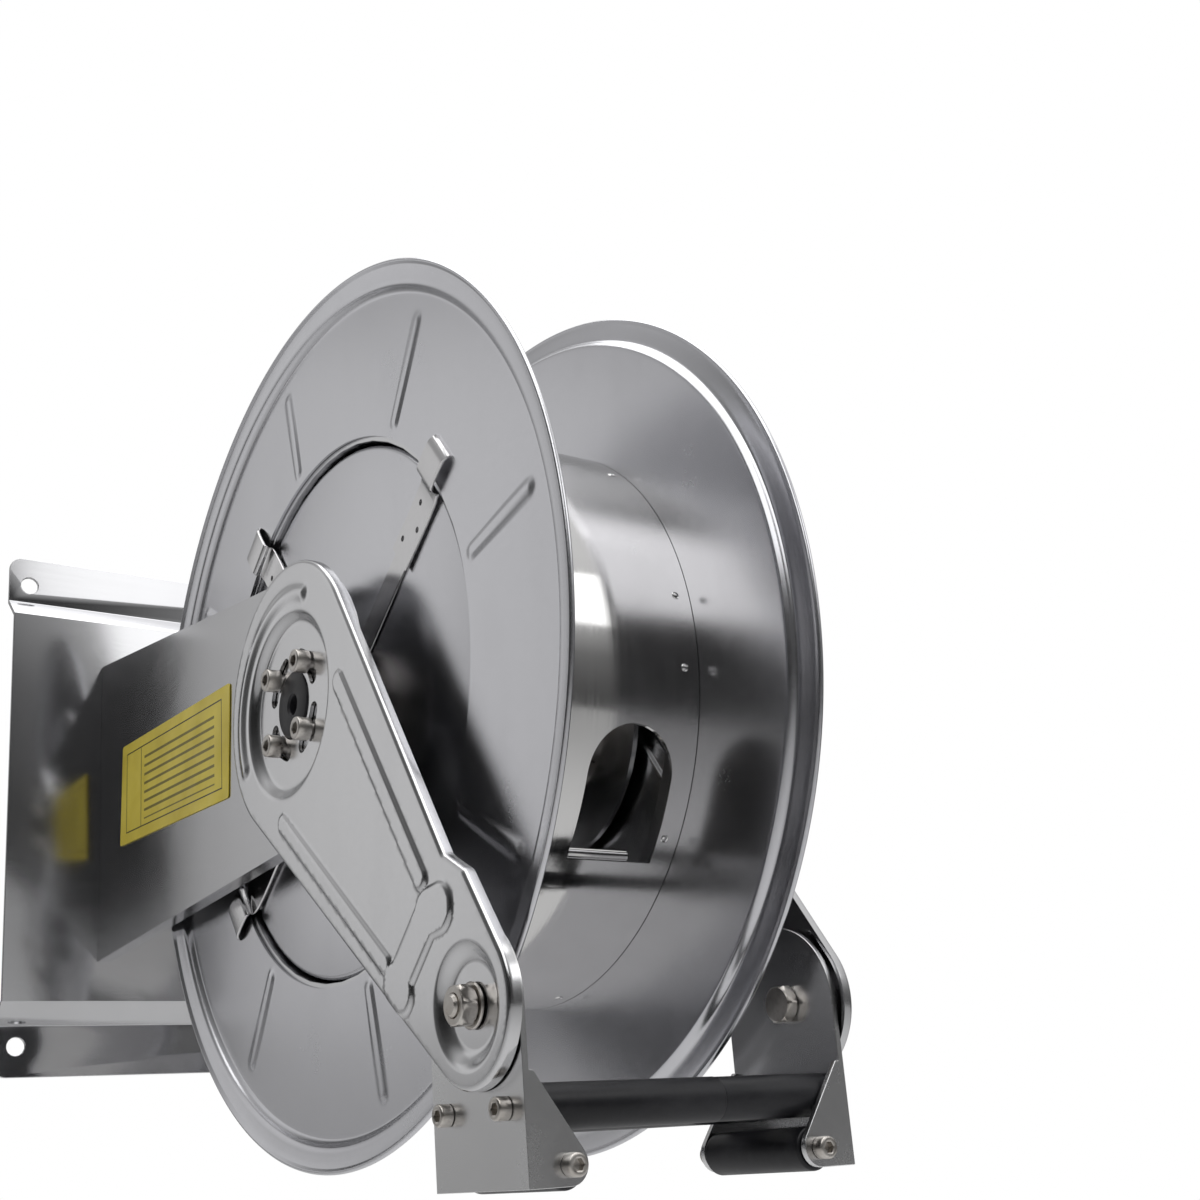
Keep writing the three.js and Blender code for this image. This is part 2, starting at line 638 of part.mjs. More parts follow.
function longRoller(y) {
  const end = ARM_INNER_X - ROLLER_END_GAP;
  return atAxle(roller(-end, end).translate(0, y, LONG_ROLLER_Z));
}

function longSpindle(y) {
  return atAxle(spindle(-ARM_OUTER_X, ARM_OUTER_X).translate(0, y, LONG_ROLLER_Z));
}

function alongY(geometry, side) {
  return atAxle(geometry.rotateZ(QUARTER_TURN).translate(side * SHORT_ROLLER_X, 0, SHORT_ROLLER_Z));
}

function shortRoller(side) {
  const inset = ARM_SHEET + ROLLER_END_GAP;
  return alongY(roller(HEAD_FRONT_Y + inset, HEAD_REAR_Y - inset), side);
}

function shortSpindle(side) {
  return alongY(spindle(HEAD_FRONT_Y, HEAD_REAR_Y), side);
}

// Drum

function disc() {
  const outside = [[0, DISC_HOLE], ...DISC_RIM].map(([out, radius]) => [-DISC_FACE_X - out, radius]);
  const inside = outside.map(([x, radius]) => [x + DISC_SHEET, radius]).reverse();
  return turned([...outside, ...inside], DISC_SEGMENTS);
}

// Only the left disc has ribs pressed into its face.
function ribbedDisc() {
  const ribs = Array.from({ length: RIB_COUNT }, (_, i) => {
    const outline = stadium([-RIB.inner, 0], [-RIB.outer, 0], RIB.half);
    const rib = plateX(outline, -DISC_FACE_X - RIB.height, ROOT - DISC_FACE_X, ARC.coarse);
    return rib.rotateX(-RIB_OFFSET - (i * FULL_TURN) / RIB_COUNT);
  });
  return join([disc(), ...ribs]);
}

// The hose leaves the barrel through a window with a round top and a flat bottom.
function barrel() {
  const end = DISC_FACE_X - DISC_SHEET - GAP;
  const wall = tube(-end, end, BARREL_RADIUS - BARREL_SHEET, BARREL_RADIUS, DISC_SEGMENTS);
  const top = BARREL_RADIUS * Math.sin(THREE.MathUtils.degToRad(WINDOW.top));
  const bottom = BARREL_RADIUS * Math.sin(THREE.MathUtils.degToRad(WINDOW.bottom));
  const opening = new THREE.Shape();
  opening.moveTo(WINDOW.x - WINDOW.half, bottom);
  opening.lineTo(WINDOW.x + WINDOW.half, bottom);
  opening.absarc(WINDOW.x, top - WINDOW.half, WINDOW.half, 0, HALF_TURN);
  return atDrum(cut(wall, [plateY(opening, -BARREL_RADIUS - PAST, -BARREL_RADIUS / 2, ARC.large)]));
}

function springCover() {
  const front = COVER_FACE_X;
  const inside = COVER_FACE_X + DISC_SHEET;
  const rimEnd = COVER_FACE_X + COVER_RIM;
  return atDrum(turned([
    [front, COVER_HOLE],
    [front, COVER_RADIUS - COVER_BEND],
    [front + COVER_BEND, COVER_RADIUS],
    [rimEnd, COVER_RADIUS],
    [rimEnd, COVER_RADIUS - DISC_SHEET],
    [inside, COVER_RADIUS - DISC_SHEET],
    [inside, COVER_HOLE],
  ], DISC_SEGMENTS));
}

// Strap that runs out over the cover and hooks over the edge of the disc.
function coverStrap(index) {
  const low = COVER_FACE_X - GAP;
  const high = -DISC_FACE_X - GAP;
  const { inner, step, rise, outer, half, sheet } = STRAP;
  const profile = polygon([
    [low, inner],
    [low - sheet, inner],
    [low - sheet, step],
    [high - sheet, step + rise],
    [high - sheet, outer],
    [high, outer],
    [high, step + rise + sheet],
    [low, step + sheet],
  ]);
  const strip = new THREE.ExtrudeGeometry(profile, { depth: 2 * half, bevelEnabled: false });
  strip.translate(0, 0, -half);
  const holes = STRAP_HOLES.places.map(([radius, aside]) =>
    rodX(high - PAST, 0, STRAP_HOLES.radius, TINY_SEGMENTS).translate(0, radius, aside));
  const angle = STRAP_OFFSET + (index * FULL_TURN) / STRAP_COUNT;
  return atDrum(cut(strip, holes).rotateX(HALF_TURN - angle));
}

// Cup that holds the spring, riveted to the inside of the left disc by its flange.
function springCan() {
  const front = DISC_SHEET + GAP - DISC_FACE_X;
  const inner = CAN_RADIUS - DISC_SHEET;
  return atDrum(turned([
    [front, inner],
    [front, CAN_FLANGE_RADIUS],
    [front + DISC_SHEET, CAN_FLANGE_RADIUS],
    [front + DISC_SHEET, CAN_RADIUS],
    [CAN_BACK_X, CAN_RADIUS],
    [CAN_BACK_X, HUB_TUBE.inner],
    [CAN_BACK_X - DISC_SHEET, HUB_TUBE.inner],
    [CAN_BACK_X - DISC_SHEET, inner],
  ], DISC_SEGMENTS));
}

function powerSpring() {
  const steps = SPRING.turns * SPRING.stepsPerTurn;
  const spiral = (shift) => Array.from({ length: steps + 1 }, (_, i) => {
    const radius = SPRING.inner + shift + ((SPRING.outer - SPRING.inner) * i) / steps;
    const angle = (i * FULL_TURN) / SPRING.stepsPerTurn;
    return [radius * Math.cos(angle), radius * Math.sin(angle)];
  });
  return atDrum(plateX(polygon([...spiral(0), ...spiral(SPRING.sheet).reverse()]), SPRING.from, SPRING.to));
}

function hubTube() {
  const start = CAN_BACK_X + GAP;
  return atDrum(turned([
    [start, HUB_TUBE.inner],
    [start, HUB_TUBE.flangeRadius],
    [start + HUB_TUBE.flange, HUB_TUBE.flangeRadius],
    [start + HUB_TUBE.flange, HUB_TUBE.outer],
    [HUB_TUBE.end, HUB_TUBE.outer],
    [HUB_TUBE.end, HUB_TUBE.inner],
  ], ROUND_SEGMENTS));
}

// Three-spoked plate that carries the open end of the drum on the hub tube.
function spider() {
  const bore = HUB_TUBE.outer + GAP;
  const rim = BARREL_RADIUS - BARREL_SHEET - GAP;
  const thickness = [SPIDER.x, SPIDER.x + SPIDER.sheet];
  const ring = tube(...thickness, SPIDER.ring, rim, DISC_SEGMENTS);
  const boss = tube(...thickness, bore, bore + SPIDER.boss, ROUND_SEGMENTS);
  const spokes = SPIDER_ANGLES.map((degrees) => {
    const reach = [-SPIDER.ring - SPIDER.overlap, SPIDER.overlap - bore - SPIDER.boss];
    const spoke = block(thickness, reach, [-SPIDER.spoke, SPIDER.spoke]);
    return spoke.rotateX(-THREE.MathUtils.degToRad(degrees));
  });
  return atDrum(join([ring, boss, ...spokes]));
}

// Bent pipe from the hub to the window, which the hose screws on to.
function hoseOutlet() {
  const route = [OUTLET.from, OUTLET.bend, OUTLET.to].map(([y, z]) => new THREE.Vector3(OUTLET.x, y, z));
  const pipe = new THREE.ExtrudeGeometry(circle(0, 0, OUTLET.radius), {
    extrudePath: new THREE.QuadraticBezierCurve3(...route),
    steps: OUTLET.steps,
    bevelEnabled: false,
    curveSegments: ARC.small,
  });
  const hubSpace = rodX(0, HUB_TUBE.end, HUB_TUBE.outer + GAP, ROUND_SEGMENTS);
  return atDrum(cut(pipe, [hubSpace]));
}

// Assembly

addNode("wall_plate", wallPlate(), steel);
addNode("side_arm_left", sideArm(), steel);
addNode("side_arm_right", mirrored(sideArm()), steel);
addNode("label_left", label(), labelYellow);
addNode("axle", axle(), fastener);
addNode("hub_cap_left", hubCap(), nylon);
for (let i = 0; i < HUB_SCREW_COUNT; i += 1) {
  addNode(`hub_screw_left_${i + 1}`, hubScrew(i), fastener);
  addNode(`hub_screw_right_${i + 1}`, mirrored(hubScrew(i)), fastener);
}
addNode("inlet_body", inletBody(), fastener);
addNode("inlet_elbow", inletElbow(), fastener);

for (const [side, place] of [["left", (geometry) => geometry], ["right", mirrored]]) {
  addNode(`guide_arm_${side}`, place(guideArm()), steel);
  addNode(`pivot_bolt_${side}`, place(pivotBolt()), fastener);
  addNode(`pivot_washer_${side}`, place(pivotWasher()), fastener);
  addNode(`pivot_nut_${side}`, place(pivotNut()), fastener);
  addNode(`bracket_${side}`, place(bracket()), steel);
}
for (const [place, y] of [["front", LONG_ROLLER_Y[0]], ["rear", LONG_ROLLER_Y[1]]]) {
  addNode(`roller_${place}`, longRoller(y), nylon);
  addNode(`spindle_${place}`, longSpindle(y), fastener);
}
for (const [place, side] of [["left", -1], ["right", 1]]) {
  addNode(`roller_${place}`, shortRoller(side), nylon);
  addNode(`spindle_${place}`, shortSpindle(side), fastener);
}

addNode("disc_left", atDrum(ribbedDisc()), steel);
addNode("disc_right", atDrum(mirrored(disc())), steel);
addNode("barrel", barrel(), polished);
addNode("spring_cover", springCover(), steel);
for (let i = 0; i < STRAP_COUNT; i += 1) addNode(`cover_strap_${i + 1}`, coverStrap(i), steel);
addNode("spring_can", springCan(), steel);
addNode("power_spring", powerSpring(), springSteel);
addNode("hub_tube", hubTube(), fastener);
addNode("spider", spider(), steel);
addNode("hose_outlet", hoseOutlet(), fastener);

export default reel;
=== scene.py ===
"""Finished looks of the wall-mounted hose reel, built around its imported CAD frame.

Metres, +Z up. X runs along the axle, -Y points away from the wall, and the origin is on the wall plane.
"""

import json
import math

import bmesh
import bpy
import numpy as np
from mathutils import Matrix, Vector
from mathutils.geometry import delaunay_2d_cdt
from mathutils.kdtree import KDTree


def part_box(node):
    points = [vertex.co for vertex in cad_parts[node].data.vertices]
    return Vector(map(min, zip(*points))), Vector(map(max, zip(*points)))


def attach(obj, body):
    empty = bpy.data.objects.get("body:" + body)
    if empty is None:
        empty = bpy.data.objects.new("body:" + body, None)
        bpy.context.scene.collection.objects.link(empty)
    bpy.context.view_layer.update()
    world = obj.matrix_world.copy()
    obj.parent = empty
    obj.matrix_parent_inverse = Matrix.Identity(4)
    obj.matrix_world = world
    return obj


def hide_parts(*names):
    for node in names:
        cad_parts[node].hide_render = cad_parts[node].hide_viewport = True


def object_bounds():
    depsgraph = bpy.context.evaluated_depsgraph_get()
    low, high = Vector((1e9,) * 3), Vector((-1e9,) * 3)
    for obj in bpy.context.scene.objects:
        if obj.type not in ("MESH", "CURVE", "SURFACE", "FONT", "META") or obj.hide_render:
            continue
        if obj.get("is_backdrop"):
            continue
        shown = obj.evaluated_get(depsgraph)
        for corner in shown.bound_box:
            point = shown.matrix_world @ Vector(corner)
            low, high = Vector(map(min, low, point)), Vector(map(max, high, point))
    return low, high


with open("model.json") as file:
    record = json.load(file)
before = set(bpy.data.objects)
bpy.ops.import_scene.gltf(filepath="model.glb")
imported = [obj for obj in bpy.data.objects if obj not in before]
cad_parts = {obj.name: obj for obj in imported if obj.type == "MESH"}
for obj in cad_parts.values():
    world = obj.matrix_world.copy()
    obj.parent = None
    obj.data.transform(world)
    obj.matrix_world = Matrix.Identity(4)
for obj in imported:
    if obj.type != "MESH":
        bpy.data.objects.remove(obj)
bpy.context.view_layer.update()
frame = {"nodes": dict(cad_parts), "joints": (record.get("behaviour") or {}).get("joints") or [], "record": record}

MM = 0.001
TURN = 2 * math.pi
JOINTS = {joint["name"]: joint for joint in frame["joints"]}
AXLE = Vector(JOINTS["drum_spin"]["pos_m"])
PIVOT = Vector(JOINTS["head_tilt"]["pos_m"])
BODIES = frame["record"]["behaviour"]["bodies"]
BODY_OF = {node: body for body, nodes in BODIES.items() for node in nodes}
SIDES = {"left": -1, "right": 1}

# Camera
CAMERA_PLACE = (-0.4391, -1.1276, -0.2720)
CAMERA_YAW = 33.93
CAMERA_PITCH = 16.64
CAMERA_ROLL = -3.88
CAMERA_LENS = 46.8
CAMERA_SHIFT = (0.05, 0.08)

# Label
LABEL_TILT = 0.05
LABEL_FRAME = (0.088, 0.0285)
LABEL_LINE = 0.0009
LABEL_RULE = 0.0062
LABEL_COLUMN = 0.058

# Drum
SHEET = 1.5 * MM
DISC_RADIUS = 250 * MM
DISC_SEGMENTS = 720
DISC_HOLE = 154 * MM
FACE_DEPTH = 7 * MM  # from the lip back to the flat face
FACE_EDGE = 231.5 * MM
RIM_LINE = [(0.0, 231.5), (0.2, 233), (1.6, 234.8), (3.4, 236.2),
            (4.1, 238), (4.5, 241), (5.0, 244.5), (5.5, 247)]
LIP_RADIUS = 1.5 * MM
RIB_COUNT = 8
RIB_START = math.radians(12.5)
RIB_INNER = 164 * MM
RIB_OUTER = 218 * MM
RIB_HALF = 4.6 * MM
RIB_HEIGHT = 0.9 * MM
RIB_SLOPE = 1.7 * MM
WINDOW_X = 25 * MM  # from the middle of the drum
WINDOW_HALF = 26 * MM
WINDOW_TOP = -15
WINDOW_BOTTOM = -40
WINDOW_BAR = 3.2 * MM
BAR_HALF = 19 * MM
BAR_CHAMFER = 0.8 * MM
BARREL_SEGMENTS = 288
COVER_SEGMENTS = 256
COVER_HOLE = 40 * MM
COVER_BEND = 3 * MM
WELD_ANGLES = (10, -4, -35, 45, 80, 120, 160, 200, 240, 280)  # degrees round the barrel from the front
WELD_RADIUS = 2.4 * MM
WELD_INSET = 9 * MM

# Straps over the spring cover
STRAP_START = math.radians(36)
STRAP_HALF = 8 * MM
STRAP_SHEET = 1.2 * MM
STRAP_INNER = 46 * MM
STRAP_STEP = 148 * MM
STRAP_OUTER = 172 * MM
CLIP_INNER = 102 * MM
CLIP_HALF = 11 * MM
CLIP_HOLES = [(112 * MM, 5 * MM), (124 * MM, -5 * MM), (136 * MM, 3 * MM)]
HOLE_RADIUS = 1.7 * MM
HOLE_DEPTH = 0.1 * MM  # into the strip, below the clip

# Guide arms, drawn along the arm and across it towards the front, in millimetres
HUB = (-4, 2, 77)
TIP = (256, 8, 36)
SHOULDER = [(215, 50), (196, 44)]
ARM_PIVOT = (256, 8)
HUB_RECESS = 51
PIVOT_RECESS = 27
RECESS_DEPTH = 4.5
RIBS = [((48, 44.5), (188, 23.5), 6.5), ((44, -49.5), (188, -26.5), 6)]
BUMPS = [((204, 16.5), (210, 24.5), 12.5), ((204, 14.5), (204, -21.5), 11.5), ((201, -27), (210, -25.5), 11)]
RIDGE = (62, 7, 115, 250)  # middle, half width, and the two end angles in degrees
PRESSING = 2.0
PRESSED_RISE = 1.4
EDGE_ROUND = 2.6
ARM_SHEET = 2.0
ARM_DEPTH = 6.0
ARM_TURN = math.atan2(PIVOT.z - AXLE.z, PIVOT.y - AXLE.y) + math.atan2(ARM_PIVOT[1], ARM_PIVOT[0])
ARM_GRID = 1.8
CREASE = 2.4
CREASE_SPACING = 1.5
HUB_RINGS = np.arange(44, 70, 1.2)
PIVOT_RINGS = np.arange(18, 30, 1.2)
EDGE_ROWS = (0.15, 0.5, 1.0, 1.7, 2.6)
OUTLINE_POINTS = 720
GRID_RANGE = (-100, 300)
HUB_BORE = 19.3
PIVOT_HOLE = 5.3
SCREW_CIRCLE = 27
SLOT_HALF = 4.6
SLOT_SPAN = math.radians(24)

# Fasteners
HUB_SOCKET = 5.9 * MM
HUB_HEAD_LENGTH = 8 * MM
HUB_SHANK = 4 * MM
SPINDLE_HEAD_LENGTH = 6 * MM
SPINDLE_SHANK = 3 * MM
SPINDLE_SOCKET = 4.8 * MM
PIVOT_FLATS = 17 * MM
PIVOT_STUD = 5 * MM
BOLT_HEAD = 6.4 * MM
WASHER_BORE = 5.3 * MM
NUT_BORE = 5.1 * MM
CAP_BORE = 5.5 * MM
ROLLER_BORE = 3.5 * MM
ROLLER_EDGE = 1.6 * MM
ROLLER_JOINT = 0.62  # share of the front roller's length

# Stage
FLOOR_SIZE = 12.0
FLOOR_DROP = 1.2
SOFTBOXES = {  # place, width and height, power
    "key": ((-1.2, -1.6, 1.6), (1.4, 1.4), 12),
    "side": ((-1.27, 1.43, 0.67), (1.0, 1.4), 1.1),
    "top": ((0, -0.4, 2.8), (3, 3), 60),
    "front": ((1.05, -2.1, 1.1), (1.3, 0.7), 4.5),
}


# Mesh helpers


def clean(mesh):
    work = bmesh.new()
    work.from_mesh(mesh)
    bmesh.ops.remove_doubles(work, verts=work.verts, dist=1e-6)
    bmesh.ops.recalc_face_normals(work, faces=work.faces)
    work.to_mesh(mesh)
    work.free()


def mesh_of(name, parts):
    """One mesh from several (vertices, faces) pairs."""
    vertices, faces = [], []
    for points, polygons in parts:
        start = len(vertices)
        vertices.extend(tuple(point) for point in points)
        faces.extend([start + i for i in polygon] for polygon in polygons)
    mesh = bpy.data.meshes.new(name)
    mesh.from_pydata(vertices, [], faces)
    clean(mesh)
    return mesh


def add_piece(name, mesh, nodes, material, sharp=35):
    """A piece that stands for CAD nodes of one body."""
    mesh.shade_smooth()
    mesh.set_sharp_from_angle(angle=math.radians(sharp))
    mesh.materials.clear()
    mesh.materials.append(material)
    piece = bpy.data.objects.new(name, mesh)
    bpy.context.scene.collection.objects.link(piece)
    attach(piece, BODY_OF[nodes[0]])
    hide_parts(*nodes)
    return piece


def cad_copy(node, material):
    """The CAD shape with its flat faces joined up."""
    mesh = frame["nodes"][node].data.copy()
    work = bmesh.new()
    work.from_mesh(mesh)
    bmesh.ops.remove_doubles(work, verts=work.verts, dist=1e-6)
    bmesh.ops.dissolve_limit(work, angle_limit=math.radians(0.5), verts=work.verts, edges=work.edges)
    work.to_mesh(mesh)
    work.free()
    return add_piece(f"{node}_finished", mesh, [node], material)


def rounded_copy(node, width, material, segments=2):
    """The CAD shape with its edges rounded."""
    piece = cad_copy(node, material)
    bevel = piece.modifiers.new("edge", "BEVEL")
    bevel.width = width
    bevel.segments = segments
    bevel.limit_method = "ANGLE"
    bevel.angle_limit = math.radians(35)
    bevel.harden_normals = True


def hexagon_radius(angle, flats):
    sixth = TURN / 6
    return flats / 2 / math.cos(angle % sixth - sixth / 2)


def spun(profile, segments, centre, axis="X"):
    """A profile of (place, radius) turned about an axis through centre.

    A third number in a profile point is the width across flats of a hexagon that limits the radius there.
    A profile that doesn't start and end on the axis is closed on itself.
    """
    count = len(profile)
    points = []
    for i in range(segments):
        angle = TURN * i / segments
        for place, radius, *flats in profile:
            if flats:
                radius = min(radius, hexagon_radius(angle, flats[0]))
            a, b = radius * math.cos(angle), radius * math.sin(angle)
            if axis == "X":
                points.append((place, centre[1] + a, centre[2] + b))
            else:
                points.append((centre[0] + a, place, centre[2] + b))
    spans = count - 1 if profile[0][1] == 0 and profile[-1][1] == 0 else count
    faces = []
    for i in range(segments):
        this, following = i * count, (i + 1) % segments * count
        for k in range(spans):
            n = (k + 1) % count
            faces.append((this + k, this + n, following + n, following + k))
    return points, faces


def tube_faces(rows, count):
    """Faces between neighbouring rows of count points, where each row is closed on itself."""
    return [(k * count + i, k * count + (i + 1) % count,
             (k + 1) * count + (i + 1) % count, (k + 1) * count + i)
            for k in range(rows - 1) for i in range(count)]


def softened(profile, round_off=0.5 * MM):
    """The same (place, radius) corners, each cut by a short facet that catches the light."""
    result = []
    for i, corner in enumerate(profile):
        before, after = profile[i - 1], profile[(i + 1) % len(profile)]
        on_axis = corner[1] == 0
        for other in (before, after):
            reach = math.dist(corner, other)
            share = 0 if on_axis or reach == 0 else min(round_off / reach, 0.4)
            result.append(tuple(c + (o - c) * share for c, o in zip(corner, other)))
    return result


def smooth_line(points, steps):
    """A Catmull-Rom curve through the points."""
    padded = [points[0], *points, points[-1]]
    line = []
    for k in range(1, len(padded) - 2):
        p = [np.array(padded[k + j]) for j in (-1, 0, 1, 2)]
        for step in range(steps):
            t = step / steps
            linear = (p[2] - p[0]) * t
            square = (2 * p[0] - 5 * p[1] + 4 * p[2] - p[3]) * t * t
            cubic = (3 * p[1] - p[0] - 3 * p[2] + p[3]) * t ** 3
            line.append(tuple(0.5 * (2 * p[1] + linear + square + cubic)))
    return [*line, tuple(points[-1])]


def prism(outline, low, high, place):
    """An outline of (a, b) points thickened from low to high. place turns (height, a, b) into a point."""
    count = len(outline)
    points = [place(height, a, b) for height in (low, high) for a, b in outline]
    sides = [(i, (i + 1) % count, count + (i + 1) % count, count + i) for i in range(count)]
    return points, [*sides, tuple(range(count))[::-1], tuple(range(count, 2 * count))]


def arc(centre, radius, start, end, steps):
    angles = [start + (end - start) * i / steps for i in range(steps + 1)]
    return [(centre[0] + radius * math.cos(a), centre[1] + radius * math.sin(a)) for a in angles]


def carved(mesh, cutter):
    """The mesh less the cutter."""
    scene = bpy.context.scene
    body = bpy.data.objects.new("carve_body", mesh)
    tool = bpy.data.objects.new("carve_tool", cutter)
    for item in (body, tool):
        scene.collection.objects.link(item)
    cut = body.modifiers.new("cut", "BOOLEAN")
    cut.operation = "DIFFERENCE"
    cut.solver = "EXACT"
    cut.object = tool
    result = bpy.data.meshes.new_from_object(body.evaluated_get(bpy.context.evaluated_depsgraph_get()))
    for item in (body, tool):
        bpy.data.objects.remove(item)
    return result


def joined(first, second):
    """The first mesh with the second added to it."""
    work = bmesh.new()
    work.from_mesh(first)
    work.from_mesh(second)
    work.to_mesh(first)
    work.free()
    return first


def smooth_step(value, low, high):
    t = np.clip((value - low) / (high - low), 0, 1)
    return t * t * (3 - 2 * t)


def bar_distance(x, y, start, end):
    """Distance of points from a line between two points."""
    start, end = np.array(start, float), np.array(end, float)
    along = end - start
    share = np.clip(((x - start[0]) * along[0] + (y - start[1]) * along[1]) / (along @ along), 0, 1)
    return np.hypot(x - start[0] - share * along[0], y - start[1] - share * along[1])


# Materials


class Recipe:
    """Builds one procedural material on a Principled shader."""

    def __init__(self, name, color, roughness, metallic=0.0):
        self.material = bpy.data.materials.new(name)
        self.material.use_nodes = True
        self.nodes = self.material.node_tree.nodes
        self.links = self.material.node_tree.links
        self.shader = self.nodes["Principled BSDF"]
        self.shader.inputs["Metallic"].default_value = metallic
        self.coordinates = self.nodes.new("ShaderNodeTexCoord")
        self.set_input("Base Color", (*color, 1))
        self.set_input("Roughness", roughness)

    def set_input(self, name, value):
        self.shader.inputs[name].default_value = value

    def noise(self, scale, stretch=(1, 1, 1), detail=4, roughness=0.5):
        """Noise over the object, finer along the axes with the larger stretch."""
        mapping = self.nodes.new("ShaderNodeMapping")
        mapping.inputs["Scale"].default_value = stretch
        self.links.new(self.coordinates.outputs["Object"], mapping.inputs["Vector"])
        texture = self.nodes.new("ShaderNodeTexNoise")
        texture.inputs["Scale"].default_value = scale
        texture.inputs["Detail"].default_value = detail
        texture.inputs["Roughness"].default_value = roughness
        self.links.new(mapping.outputs["Vector"], texture.inputs["Vector"])
        return texture.outputs["Fac"]

    def remap(self, source, low, high, start=0.3, end=0.7):
        node = self.nodes.new("ShaderNodeMapRange")
        node.inputs["From Min"].default_value = start
        node.inputs["From Max"].default_value = end
        node.inputs["To Min"].default_value = low
        node.inputs["To Max"].default_value = high
        self.links.new(source, node.inputs["Value"])
        return node.outputs["Result"]

    def maths(self, operation, first, second):
        node = self.nodes.new("ShaderNodeMath")
        node.operation = operation
        for socket, value in zip(node.inputs, (first, second)):
            if isinstance(value, (int, float)):
                socket.default_value = value
            else:
                self.links.new(value, socket)
        return node.outputs["Value"]

    def mix(self, share, first, second):
        node = self.nodes.new("ShaderNodeMix")
        node.data_type = "RGBA"
        self.links.new(share, node.inputs["Factor"])
        for socket, value in ((node.inputs["A"], first), (node.inputs["B"], second)):
            if isinstance(value, tuple):
                socket.default_value = (*value, 1)
            else:
                self.links.new(value, socket)
        return node.outputs["Result"]

    def feed(self, name, source):
        self.links.new(source, self.shader.inputs[name])

    def bump(self, height, strength, distance):
        node = self.nodes.new("ShaderNodeBump")
        node.inputs["Strength"].default_value = strength
        node.inputs["Distance"].default_value = distance
        self.links.new(height, node.inputs["Height"])
        self.feed("Normal", node.outputs["Normal"])


def stainless(name, color, roughness, grain=(1, 1, 1), grain_scale=60, spread=0.06, bump=0.05,
              anisotropic=0.0):
    """Rolled sheet: faint grain, cloudy handling marks and slightly duller patches."""
    recipe = Recipe(name, color, roughness, metallic=1.0)
    grain_noise = recipe.noise(grain_scale, grain, detail=6, roughness=0.65)
    clouds = recipe.noise(9, detail=5, roughness=0.6)
    smears = recipe.noise(28, (1, 1, 0.35), detail=3)
    cloudy = recipe.remap(clouds, -spread, spread)
    dull = recipe.maths("ADD", cloudy, recipe.remap(smears, 0, spread * 0.7, 0.5, 0.75))
    fine = recipe.remap(grain_noise, roughness - spread / 2, roughness + spread / 2)
    recipe.feed("Roughness", recipe.maths("MAXIMUM", recipe.maths("ADD", fine, dull), 0.03))
    darker = tuple(c * 0.9 for c in color)
    recipe.feed("Base Color", recipe.mix(recipe.remap(clouds, 0, 1), darker, color))
    recipe.set_input("Anisotropic", anisotropic)
    recipe.bump(grain_noise, bump, 0.0002)
    return recipe.material


def fastener_steel():
    """Turned and cold-formed steel with a fine grain and uneven stains."""
    recipe = Recipe("fastener_steel", (0.50, 0.47, 0.44), 0.3, metallic=1.0)
    grain = recipe.noise(900, detail=2)
    stains = recipe.noise(70, detail=5, roughness=0.7)
    recipe.feed("Base Color", recipe.mix(recipe.remap(stains, 0, 1), (0.36, 0.33, 0.30), (0.62, 0.60, 0.57)))
    recipe.feed("Roughness", recipe.remap(stains, 0.24, 0.42))
    recipe.bump(grain, 0.12, 0.0002)
    return recipe.material


def nylon():
    """Black roller plastic with turning marks, rubbed paler in places."""
    recipe = Recipe("black_nylon", (0.012, 0.012, 0.014), 0.45)
    rings = recipe.noise(420, (1, 0.02, 0.02), detail=3)
    rubs = recipe.noise(38, (0.5, 1, 1), detail=6, roughness=0.7)
    rubbed = recipe.remap(rubs, 0, 1, 0.45, 0.8)
    recipe.feed("Base Color", recipe.mix(rubbed, (0.008, 0.008, 0.010), (0.03, 0.03, 0.034)))
    recipe.feed("Roughness", recipe.remap(rubs, 0.3, 0.52))
    recipe.set_input("Specular IOR Level", 0.3)
    recipe.bump(recipe.maths("ADD", rings, rubs), 0.18, 0.0003)
    return recipe.material


def spring_steel():
    recipe = Recipe("spring_steel", (0.16, 0.17, 0.2), 0.35, metallic=1.0)
    oil = recipe.noise(60, detail=5)
    recipe.feed("Base Color", recipe.mix(recipe.remap(oil, 0, 1), (0.1, 0.1, 0.13), (0.26, 0.24, 0.22)))
    recipe.feed("Roughness", recipe.remap(oil, 0.2, 0.5))
    recipe.bump(oil, 0.1, 0.0003)
    return recipe.material


